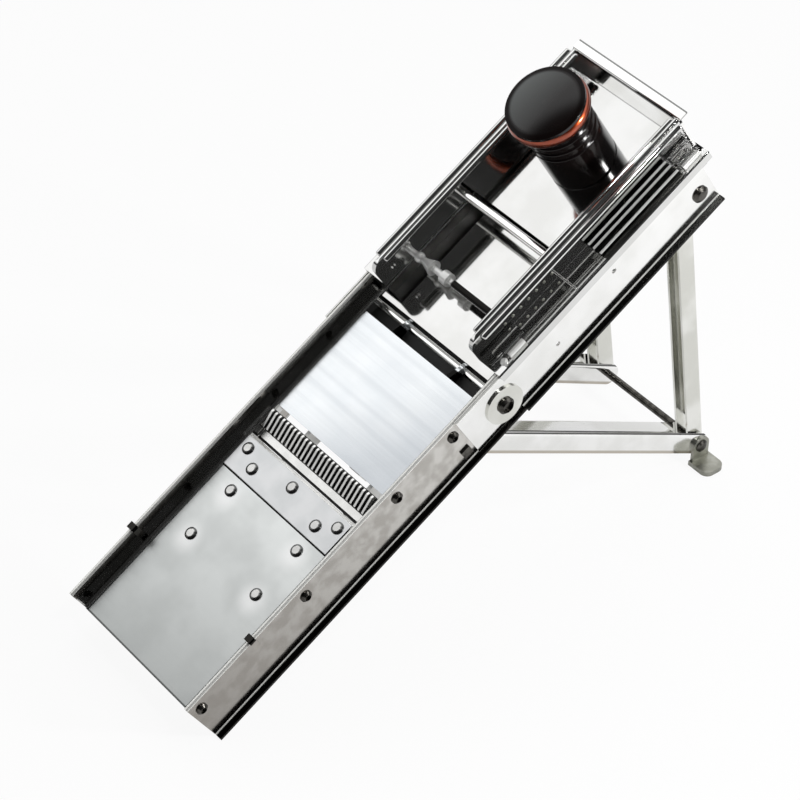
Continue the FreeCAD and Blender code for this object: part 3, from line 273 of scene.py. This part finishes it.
# Painted shade: nearly black on the underside and on the arms of the ears in the hinge gap.
under = add_node(tree, "ShaderNodeMapRange",
                 {"From Min": UNDERSIDE[0] * MM, "From Max": UNDERSIDE[1] * MM,
                  "To Min": 1.0, "To Max": 0.0}, {"Value": measures.outputs["Z"]})
arm = add_node(tree, "ShaderNodeMapRange",
               {"From Min": ARM_END[0] * MM, "From Max": ARM_END[1] * MM,
                "To Min": 1.0, "To Max": 0.0}, {"Value": measures.outputs["X"]})
hidden = add_node(tree, "ShaderNodeMath", {"operation": "MULTIPLY"},
                  {0: under.outputs[0], 1: arm.outputs[0]})
gap_shade = add_node(tree, "ShaderNodeMix", {"data_type": "RGBA", 7: linear("#151514")},
                     {0: hidden.outputs[0], 6: corner_shade.outputs[2]})
tree.links.new(gap_shade.outputs[2], shader.inputs["Base Color"])

# %% [markdown]
# ## Rails
# The lower rails are an older, warmer sheet, mottled by handling, and darker at the low end, which
# is painted shade. The upper rails are brighter and cleaner. On both, the turned-out foot flange is
# darkened as painted shade, and painted highlights run as white lines in its corner and along the
# top of the hem. Those lines get a white that is mostly diffuse rather than a metal. The lines
# follow height above the plates: a stripe is where one ramp has risen and a second has not yet
# fallen.


# %% Foot flange and hem
def stripe(tree, measure, rise, fall):
    """Mask that fades in between the two places of rise and out between those of fall, in mm."""
    fade_in = add_node(tree, "ShaderNodeMapRange",
                       {"From Min": rise[0] * MM, "From Max": rise[1] * MM}, {"Value": measure})
    fade_out = add_node(tree, "ShaderNodeMapRange",
                        {"From Min": fall[0] * MM, "From Max": fall[1] * MM,
                         "To Min": 1.0, "To Max": 0.0}, {"Value": measure})
    return add_node(tree, "ShaderNodeMath", {"operation": "MULTIPLY"},
                    {0: fade_in.outputs[0], 1: fade_out.outputs[0]})


HEM_TOP = (8.8, 9.2)
HIGHLIGHT_LINE_METAL = 0.35


def rail_shade_and_highlight_lines(tree, shader, steel, measures, painted_shade):
    """Paints shade on the foot flange and highlight lines in its corner and on top of the hem."""
    height = measures.outputs["Z"]
    # Painted shade: the foot flange is darkened.
    shaded_flange = tone(tree, steel, height, -23.4, -21.5, painted_shade)
    # Painted highlights: white lines in the corner of the foot and on top of the hem.
    line = stripe(tree, height, (-23.5, -23.3), (-22.6, -22.3))
    hem = add_node(tree, "ShaderNodeMapRange",
                   {"From Min": HEM_TOP[0] * MM, "From Max": HEM_TOP[1] * MM}, {"Value": height})
    both = add_node(tree, "ShaderNodeMath", {"operation": "MAXIMUM"},
                    {0: line.outputs[0], 1: hem.outputs[0]})
    painted_line_mix = add_node(tree, "ShaderNodeMix", {"data_type": "RGBA", 7: linear("#F0F0EC")},
                     {0: both.outputs[0], 6: shaded_flange.outputs[2]})
    tree.links.new(painted_line_mix.outputs[2], shader.inputs["Base Color"])
    metal = add_node(tree, "ShaderNodeMapRange", {"To Min": 1.0, "To Max": HIGHLIGHT_LINE_METAL},
                     {"Value": both.outputs[0]})
    tree.links.new(metal.outputs[0], shader.inputs["Metallic"])


# %% Handled and bright rail sheet
rail, tree, shader, tint, measures = rolled_steel(
    "handled_rail_sheet", "#D7D5D1", "#BAB7B2", 0.17, 0.05, 0.8, 9)
# Painted shade: the lower rail is darker towards the low end.
low_end_shade = tone(tree, tint, measures.outputs["X"], 0, 200, "#938E88", at_start=0.75)
rail_shade_and_highlight_lines(tree, shader, low_end_shade, measures, "#2A2927")

upper_rail, tree, shader, tint, measures = rolled_steel(
    "bright_upper_rail", "#F6F6F5", "#ECECEA", 0.13, 0.04, 0.8, 30)
rail_shade_and_highlight_lines(tree, shader, tint, measures, "#2A2A29")

# %% [markdown]
# ## Stop clips
# The clips that stop the carriage hook over the rails, and their tops show dark against the bright
# hem. A second material on the upper faces would need the mesh cut there, so the colour changes
# with height instead.

# %% Stop clip sheet
clip, tree, shader, tint, measures = rolled_steel(
    "clip_sheet", "#B2AEA8", "#A09C96", 0.2, 0.04, 0.6, 6)
capped = tone(tree, tint, measures.outputs["Z"], 9.4, 9.8, "#2B2A28", at_start=0.0, at_stop=1.0)
tree.links.new(capped.outputs[2], shader.inputs["Base Color"])

# %% [markdown]
# ## Rivets
# A set rivet has a flat crown and a sloping shoulder. The crown stays bright and the shoulder is
# darkened as painted shade. The colour changes with height above the plates, so each row of heads
# needs only the height of its crowns.

# %% Rivet steels
SHOULDER = 0.35


def rivet_steel(name, crown):
    """Steel that is bright on crowns above this height over the plates, with painted shade on
    shoulders.
    """
    material, tree, shader, tint, measures = rolled_steel(
        name, "#D6D6D4", "#CACAC8", 0.26, 0.05, 0.5, 6)
    # Painted shade on the shoulders of the heads.
    ringed = tone(tree, tint, measures.outputs["Z"], crown - SHOULDER, crown, "#636463")
    tree.links.new(ringed.outputs[2], shader.inputs["Base Color"])
    return material


landing_rivet = rivet_steel("landing_rivet_steel", 1.15)
clamp_rivet = rivet_steel("clamp_rivet_steel", 2.15)

# %% [markdown]
# ## Stand
# The struts are bright sheet like the legs, and their lower edge, which faces the table, is painted
# warmer and darker as shade.
# They do not run along the deck, so height square to the strut is a dot product with a direction of
# its own, measured from the knee where strut and leg meet.

# %% Strut sheet
STRUT_UP = Vector((0.4726, 0.0, 0.8813))
KNEE = Vector((0.1791, 0.0, 0.012))

strut, tree, shader, tint = rolled_steel(
    "bright_strut_sheet", "#F6F6F5", "#EBEBE9", 0.1, 0.03, 0.8, 25)[:4]
own = add_node(tree, "ShaderNodeTexCoord")
height = add_node(tree, "ShaderNodeVectorMath", {"operation": "DOT_PRODUCT", 1: STRUT_UP},
                  {0: own.outputs["Object"]})
middle = KNEE.dot(STRUT_UP) / MM
# Painted shade: the lower edge of the strut is warmer and darker.
shaded = tone(tree, tint, height.outputs["Value"], middle - 5.2, middle - 4.2, "#BDB6AB")
tree.links.new(shaded.outputs[2], shader.inputs["Base Color"])

# %% [markdown]
# ## Wear strips
# The strips on the carriage flanges are painted dark between their ridges, a painted reflection of
# the dark wall, and the tops of the ridges are painted white as highlights. A white top scatters
# light instead of mirroring it, so it is less of a metal as well as lighter.

# %% Ridged strips
RIDGE_TOP = (13.6, 13.9)

ridged, tree, shader, tint, measures = rolled_steel(
    "wear_strip_with_painted_light", "#4A4A48", "#3A3A38", 0.12, 0.04, 0.6, 20)
# Painted highlights: white ridge tops on a strip painted dark as a reflection.
painted_light_mix = tone(tree, tint, measures.outputs["Z"], *RIDGE_TOP, "#F4F4F2", at_start=0.0, at_stop=1.0)
tree.links.new(painted_light_mix.outputs[2], shader.inputs["Base Color"])
metal = add_node(tree, "ShaderNodeMapRange",
                 {"From Min": RIDGE_TOP[0] * MM, "From Max": RIDGE_TOP[1] * MM,
                  "To Min": 1.0, "To Max": 0.0}, {"Value": measures.outputs["Z"]})
tree.links.new(metal.outputs[0], shader.inputs["Metallic"])

# %% [markdown]
# ## End wall and spindle of the carriage
# The end wall is bright, with a dark line of painted shade under the bend of its flange and a grey
# line of painted shade along its outer edge. The spindle is thinly tinned at its turned ball and
# cone, which makes it whiter and less of a mirror, and its plain near half is painted dark as a
# reflection.

# %% End wall
end_wall, tree, shader, tint, measures = rolled_steel(
    "bright_end_wall", "#F6F6F5", "#ECECEA", 0.12, 0.04, 0.6, 20)
# Painted shade: a dark line under the bend of the flange.
painted_shade = stripe(tree, measures.outputs["Z"], (25.2, 25.8), (27.8, 28.4))
painted_line_mix = add_node(tree, "ShaderNodeMix", {"data_type": "RGBA", 7: linear("#121212")},
                 {0: painted_shade.outputs[0], 6: tint.outputs[2]})
# Painted shade: a grey line along the outer edge of the flange.
edged = tone(tree, painted_line_mix, measures.outputs["X"], 402.4, 402.8, "#7C7D7C", at_start=0.0, at_stop=1.0)
tree.links.new(edged.outputs[2], shader.inputs["Base Color"])

# %% Spindle
BLACK_END = (4.0, 5.5)
SPINDLE_TIN_METAL = 0.35

spindle, tree, shader, tint, measures = rolled_steel(
    "spindle_with_painted_dark_half", "#F4F4F2", "#E6E6E4", 0.14, 0.02, 0.5, 10)
# Painted reflection: the near half of the spindle is dark.
halved = tone(tree, tint, measures.outputs["Y"], *BLACK_END, "#1D1C1B")
tree.links.new(halved.outputs[2], shader.inputs["Base Color"])
metal = add_node(tree, "ShaderNodeMapRange",
                 {"From Min": BLACK_END[0] * MM, "From Max": BLACK_END[1] * MM,
                  "To Min": 1.0, "To Max": SPINDLE_TIN_METAL}, {"Value": measures.outputs["Y"]})
tree.links.new(metal.outputs[0], shader.inputs["Metallic"])

# %% [markdown]
# ## Black nylon
# The bed of the blade, the bar of the comb and the bed of the hinge rod are moulded nylon. Moulded
# nylon is a soft black with a fine spark-eroded grain, drawn here at 0.8 mm so that it shows.

# %% Black nylon
# The bed of the hinge rod fills the hinge gap, and its black also stands in for the shade there.
NYLON_GRAIN = 0.8

nylon, tree, shader = new_material("black_moulded_nylon")
place = deck_coordinates(tree)
grain = add_node(tree, "ShaderNodeTexNoise", {"Scale": 1 / (NYLON_GRAIN * MM), "Detail": 2.0},
                 {"Vector": place.outputs[0]})
tint = add_node(tree, "ShaderNodeMix",
                {"data_type": "RGBA", 6: linear("#0B0B0B"), 7: linear("#171716")},
                {0: grain.outputs["Fac"]})
tree.links.new(tint.outputs[2], shader.inputs["Base Color"])
shader.inputs["Roughness"].default_value = 0.6
bump = add_node(tree, "ShaderNodeBump", {"Strength": 0.15, "Distance": 0.2 * MM},
                {"Height": grain.outputs["Fac"]})
tree.links.new(bump.outputs[0], shader.inputs["Normal"])

# %% [markdown]
# ## Handle
# The knob is moulded from a dark, glossy resin, nearly black, with soft clouds in it. The far part
# of its top is painted grey as a reflection, inside a dull rim that mirrors little, so the top is
# measured by its distance from the axis of the knob. The edge of the head behind the copper band is
# coppery too: a metal colour with a broad glow under a clear lacquer, picked out by height.

# %% Dark resin
HANDLE = 355.0
RESIN_CLOUD = 8.0
HEAD_TOP = (66.8, 67.4)
SHEEN_ACROSS = (-6.0, 18.0)
RIM = (18.0, 20.8)
GLOSS, RIM_GLOSS = 0.4, 0.08

resin, tree, shader = new_material("dark_moulded_resin")
place = deck_coordinates(tree)
measures = add_node(tree, "ShaderNodeSeparateXYZ", {}, {0: place.outputs[0]})
cloud = add_node(tree, "ShaderNodeTexNoise", {"Scale": 1 / (RESIN_CLOUD * MM), "Detail": 4.0},
                 {"Vector": place.outputs[0]})
tint = add_node(tree, "ShaderNodeMix",
                {"data_type": "RGBA", 6: linear("#0B0909"), 7: linear("#191110")},
                {0: cloud.outputs["Fac"]})
on_top = add_node(tree, "ShaderNodeMapRange",
                  {"From Min": HEAD_TOP[0] * MM, "From Max": HEAD_TOP[1] * MM},
                  {"Value": measures.outputs["Z"]})
far_part = add_node(tree, "ShaderNodeMapRange",
                    {"From Min": SHEEN_ACROSS[0] * MM, "From Max": SHEEN_ACROSS[1] * MM},
                    {"Value": measures.outputs["Y"]})
flat = add_node(tree, "ShaderNodeVectorMath", {"operation": "MULTIPLY", 1: (1.0, 1.0, 0.0)},
                {0: place.outputs[0]})
radius = add_node(tree, "ShaderNodeVectorMath",
                  {"operation": "DISTANCE", 1: (HANDLE * MM, 0.0, 0.0)}, {0: flat.outputs[0]})
rim = add_node(tree, "ShaderNodeMapRange",
               {"interpolation_type": "SMOOTHSTEP",
                "From Min": RIM[0] * MM, "From Max": RIM[1] * MM},
               {"Value": radius.outputs["Value"]})
edge = add_node(tree, "ShaderNodeMath", {"operation": "MULTIPLY"},
                {0: rim.outputs[0], 1: on_top.outputs[0]})
gloss = add_node(tree, "ShaderNodeMapRange", {"To Min": GLOSS, "To Max": RIM_GLOSS},
                 {"Value": edge.outputs[0]})
tree.links.new(gloss.outputs[0], shader.inputs["Specular IOR Level"])
# Painted reflection: a grey sheen on the far part of the top, inside the rim.
inside = add_node(tree, "ShaderNodeMath", {"operation": "SUBTRACT", "use_clamp": True},
                  {0: far_part.outputs[0], 1: rim.outputs[0]})
sheen_share = add_node(tree, "ShaderNodeMath", {"operation": "MULTIPLY"},
                {0: inside.outputs[0], 1: on_top.outputs[0]})
painted_sheen = add_node(tree, "ShaderNodeMix", {"data_type": "RGBA", 7: linear("#5A5E5D")},
                 {0: sheen_share.outputs[0], 6: tint.outputs[2]})

# %% Coppery edge of the head
RESIN_ROUGH, COPPER_ROUGH, LACQUER_ROUGH = 0.14, 0.36, 0.06

band = stripe(tree, measures.outputs["Z"], (58.0, 61.5), (64.8, 65.4))
banded = add_node(tree, "ShaderNodeMix", {"data_type": "RGBA", 7: linear("#7A3520")},
                  {0: band.outputs[0], 6: painted_sheen.outputs[2]})
tree.links.new(banded.outputs[2], shader.inputs["Base Color"])
tree.links.new(band.outputs[0], shader.inputs["Metallic"])
sheen = add_node(tree, "ShaderNodeMapRange", {"To Min": RESIN_ROUGH, "To Max": COPPER_ROUGH},
                 {"Value": band.outputs[0]})
tree.links.new(sheen.outputs[0], shader.inputs["Roughness"])
tree.links.new(band.outputs[0], shader.inputs["Coat Weight"])
shader.inputs["Coat Roughness"].default_value = LACQUER_ROUGH
print("copper on the edge of", resin.name)

# %% [markdown]
# ## Which piece gets which finish
# Each node of the frame gets one of the finishes above, and the rest of the sheet is polished.


# %% Dress the nodes
def dress(material, names):
    """Gives the named nodes of the frame one finish."""
    for name in names:
        slots = nodes[name].data.materials
        slots.clear()
        slots.append(material)
    print(material.name, "on", len(names), "nodes")


finishes = [
    (resin, ["handle_body", "handle_head", "feed_lever_grip", "comb_lever_grip"]),
    (nylon, ["hinge_bed", "blade_bed", "comb_carrier"]),
    (landing, ["landing_plate"]),
    (clamp, ["blade_clamp_strip"]),
    (feed, ["feed_plate"]),
    (rail, ["far_lower_rail", "near_lower_rail"]),
    (upper_rail, ["far_upper_rail", "near_upper_rail"]),
    (landing_rivet, ["landing_rivets"]),
    (clamp_rivet, ["blade_rivets"]),
    (strut, ["far_strut", "near_strut"]),
    (ridged, ["wear_strips"]),
    (end_wall, ["carriage_end_wall"]),
    (spindle, ["carriage_spindle"]),
    (bright, ["far_leg", "near_leg", "pivot_discs"]),
    (white_rod, ["guide_bars", "shoe_screws"]),
    (bright_rod, ["feed_hinge_rod", "carriage_cross_bar"]),
    (clip, ["stop_clips"]),
    (dark_steel, ["rail_screws", "hinge_nuts", "strut_catch_pins", "knee_rod", "leg_pivot_bolts"]),
    (tab_steel, ["foot_tabs", "wall_rivets"]),
    (ground, ["blade", "comb_teeth", "comb_front_strip", "seat_strips"]),
    (satin, ["landing_braces", "cam_brackets", "rail_fillers", "feed_cam_shaft", "comb_cam_shaft",
             "feed_lever", "comb_lever", "leg_spacers", "carriage_runners"]),
]
for material, names in finishes:
    dress(material, names)
dressed = {name for _, names in finishes for name in names}
dress(polished, [name for name in nodes if name not in dressed])

# %% [markdown]
# ## Wired edges of the carriage
# The long walls of a sheet-metal box are stiffened by rolling the top edge round a wire. It shows
# as round beads along both sides of the wall's hem, and their bright lines are what the eye follows
# up the carriage. Each bead starts as a cylinder laid along the deck, and its end edges are then
# bevelled round.

# %% Wired edge beads
BEAD_FROM, BEAD_TO = 244.0, 396.0
END_ROUNDING = 0.6  # of the radius


def on_deck(along, across, above):
    """World place of a point given in millimetres along, across and square to the deck."""
    return LOW_END + UPHILL * (along * MM) + Vector((0, across * MM, 0)) + SQUARE * (above * MM)


def wired_edge(name, across, above, radius):
    """Round bead along the deck, with rounded ends; places and radius are in millimetres."""
    bpy.ops.object.select_all(action="DESELECT")
    bpy.ops.mesh.primitive_cylinder_add(
        vertices=32, radius=radius * MM, depth=(BEAD_TO - BEAD_FROM) * MM,
        rotation=(0, math.pi / 2 - DECK_TILT, 0),
        location=on_deck((BEAD_FROM + BEAD_TO) / 2, across, above))
    bead = bpy.context.object
    bead.name = name
    bpy.ops.object.transform_apply(location=True, rotation=True, scale=True)
    bpy.ops.object.modifier_add(type="BEVEL")
    bevel = bead.modifiers[-1]
    bevel.width = END_ROUNDING * radius * MM
    bevel.segments = 4
    bevel.limit_method = "ANGLE"
    bpy.ops.object.modifier_apply(modifier=bevel.name)
    bpy.ops.object.shade_smooth_by_angle(angle=math.radians(40))
    bead.data.materials.append(polished)
    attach(bead, "carriage")
    print(name, [round(v / MM, 1) for v in bead.dimensions])


for side, sign in (("near", -1), ("far", 1)):
    wired_edge(side + "_outer_wired_edge", sign * 44.2, 27.2, 2.0)
    wired_edge(side + "_inner_wired_edge", sign * 37.8, 27.4, 1.8)

# %% [markdown]
# ## Copper band round the head
# The band is lacquered copper, a little uneven in colour. It bulges beyond the head, and a bulge is
# what catches a glint: somewhere on it one strip faces halfway between lamp and eye. A torus is
# drawn out along its axis to an oval section, and its face is hammered slightly by a soft noise
# before it is turned on to the handle.

# %% Lacquered copper
COPPER_CLOUD = 5.0

copper, tree, shader = new_material("lacquered_copper")
place = deck_coordinates(tree)
cloud = add_node(tree, "ShaderNodeTexNoise", {"Scale": 1 / (COPPER_CLOUD * MM), "Detail": 3.0},
                 {"Vector": place.outputs[0]})
tint = add_node(tree, "ShaderNodeMix",
                {"data_type": "RGBA", 6: linear("#6E2A17"), 7: linear("#B04A20")},
                {0: cloud.outputs["Fac"]})
tree.links.new(tint.outputs[2], shader.inputs["Base Color"])
shader.inputs["Metallic"].default_value = 1.0
shader.inputs["Roughness"].default_value = 0.3
shader.inputs["Coat Weight"].default_value = 1.0
shader.inputs["Coat Roughness"].default_value = LACQUER_ROUGH

# %% Head band
BAND_RADIUS, BAND_SECTION, BAND_HEIGHT = 20.2, 3.2, 62.2
BAND_DRAWN_OUT = 1.35
HAMMER_MARK, HAMMER_DEPTH = 6.0, 0.3

bpy.ops.object.select_all(action="DESELECT")
bpy.ops.mesh.primitive_torus_add(major_radius=BAND_RADIUS * MM, minor_radius=BAND_SECTION * MM,
                                 major_segments=128, minor_segments=32, location=(0, 0, 0))
ring = bpy.context.object
ring.name = "head_band"
ring.scale = (1.0, 1.0, BAND_DRAWN_OUT)
bpy.ops.object.transform_apply(location=True, rotation=True, scale=True)
hammer = bpy.data.textures.new("hammered", "CLOUDS")
hammer.noise_scale = HAMMER_MARK * MM
bpy.ops.object.modifier_add(type="DISPLACE")
ring.modifiers[-1].texture = hammer
ring.modifiers[-1].strength = HAMMER_DEPTH * MM
bpy.ops.object.modifier_apply(modifier=ring.modifiers[-1].name)
ring.rotation_euler = (0, -DECK_TILT, 0)
ring.location = on_deck(HANDLE, 0, BAND_HEIGHT)
bpy.ops.object.transform_apply(location=True, rotation=True, scale=True)
bpy.ops.object.shade_smooth()
ring.data.materials.append(copper)
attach(ring, "carriage")
print("head band", [round(v / MM, 1) for v in ring.dimensions])

# %% [markdown]
# ## Floor and light
# The slicer stands on a pale sheet in a studio. Polished steel shows what it faces, so the room is
# drawn as it would mirror there: a bright far wall above a dark skirting, and a dark side where the
# photographer stands. The dark side draws the black lines along the rails. The sheet glows a little
# of its own, most of all to the camera, so that it reads as white without more light on the metal.
# Two small lamps, one low on the right and one above the camera, give the handle its glints.

# %% Floor
FLOOR_SIZE = 12.0
CAMERA_SHARE, MIRROR_SHARE = 0.92, 0.4  # of the glow, in the picture and in what metal mirrors

bpy.ops.object.select_all(action="DESELECT")
bpy.ops.mesh.primitive_plane_add(size=FLOOR_SIZE, location=(0, 0, 0))
floor = bpy.context.object
floor.name = "floor"
paper, tree, shader = new_material("white_paper_floor")
shader.inputs["Base Color"].default_value = linear("#EFEFEF")
shader.inputs["Roughness"].default_value = 0.9
path = add_node(tree, "ShaderNodeLightPath")
mirror_ray = add_node(tree, "ShaderNodeMath", {"operation": "MAXIMUM"},
                      {0: path.outputs["Is Glossy Ray"], 1: path.outputs["Is Transmission Ray"]})
mirrored = add_node(tree, "ShaderNodeMath", {"operation": "MULTIPLY", 1: MIRROR_SHARE},
                    {0: mirror_ray.outputs[0]})
share = add_node(tree, "ShaderNodeMath", {"operation": "MULTIPLY_ADD", 1: CAMERA_SHARE},
                 {0: path.outputs["Is Camera Ray"], 2: mirrored.outputs[0]})
glow = add_node(tree, "ShaderNodeEmission", {"Color": linear("#FFFFFF"), "Strength": 1.0})
mixed = add_node(tree, "ShaderNodeMixShader", {},
                 {0: share.outputs[0], 1: shader.outputs[0], 2: glow.outputs[0]})
tree.links.new(mixed.outputs[0], tree.nodes["Material Output"].inputs["Surface"])
floor.data.materials.append(paper)
print("floor", floor.dimensions[:])

# %% Room
DARK_SIDE = Vector((-0.618, -0.57, 0.537)).normalized()
DARK_FROM, DARK_FULL = 72, 62  # degrees away from the middle of the dark side
SKIRT_LOW, SKIRT_TOP = 6, 22  # degrees above the horizon
WALL_LIGHT, DARK_LIGHT, SKIRT_SHARE = 1.3, 0.04, 0.04

world = bpy.data.worlds.new("studio_room")
bpy.context.scene.world = world
world.use_nodes = True
tree = world.node_tree
background = tree.nodes["Background"]
toward = add_node(tree, "ShaderNodeTexCoord")
facing = add_node(tree, "ShaderNodeVectorMath", {"operation": "DOT_PRODUCT", 1: DARK_SIDE},
                  {0: toward.outputs["Generated"]})
wall = add_node(tree, "ShaderNodeMapRange",
                {"interpolation_type": "SMOOTHSTEP",
                 "From Min": math.cos(math.radians(DARK_FROM)),
                 "From Max": math.cos(math.radians(DARK_FULL)),
                 "To Min": WALL_LIGHT, "To Max": DARK_LIGHT}, {"Value": facing.outputs["Value"]})
height = add_node(tree, "ShaderNodeSeparateXYZ", {}, {0: toward.outputs["Generated"]})
skirt = add_node(tree, "ShaderNodeMapRange",
                 {"interpolation_type": "SMOOTHSTEP",
                  "From Min": math.sin(math.radians(SKIRT_LOW)),
                  "From Max": math.sin(math.radians(SKIRT_TOP)),
                  "To Min": SKIRT_SHARE, "To Max": 1.0}, {"Value": height.outputs["Z"]})
room = add_node(tree, "ShaderNodeMath", {"operation": "MULTIPLY"},
                {0: wall.outputs[0], 1: skirt.outputs[0]})
path = add_node(tree, "ShaderNodeLightPath")
level = add_node(tree, "ShaderNodeMix", {"data_type": "FLOAT", 3: 1.0},
                 {0: path.outputs["Is Camera Ray"], 2: room.outputs[0]})
tree.links.new(level.outputs[0], background.inputs["Strength"])
background.inputs["Color"].default_value = linear("#FFFFFF")
print("room: bright far wall, dark side towards", [round(v, 2) for v in DARK_SIDE])

# %% Lamps
HANDLE_HEAD = on_deck(HANDLE, 0, 64)
LAMP_SIZE = 0.12

for name, place, power in (("low_right_lamp", (0.54, -0.875, 0.43), 6.5),
                           ("lamp_above_camera", (-0.087, -0.66, 1.244), 3.0)):
    lamp_data = bpy.data.lights.new(name, "AREA")
    lamp_data.size = LAMP_SIZE
    lamp_data.energy = power
    lamp = bpy.data.objects.new(name, lamp_data)
    bpy.context.scene.collection.objects.link(lamp)
    lamp.location = place
    lamp.rotation_euler = (HANDLE_HEAD - lamp.location).to_track_quat("-Z", "Y").to_euler()
    print(name, "power", power)

# %% Finish
print("scene set up")
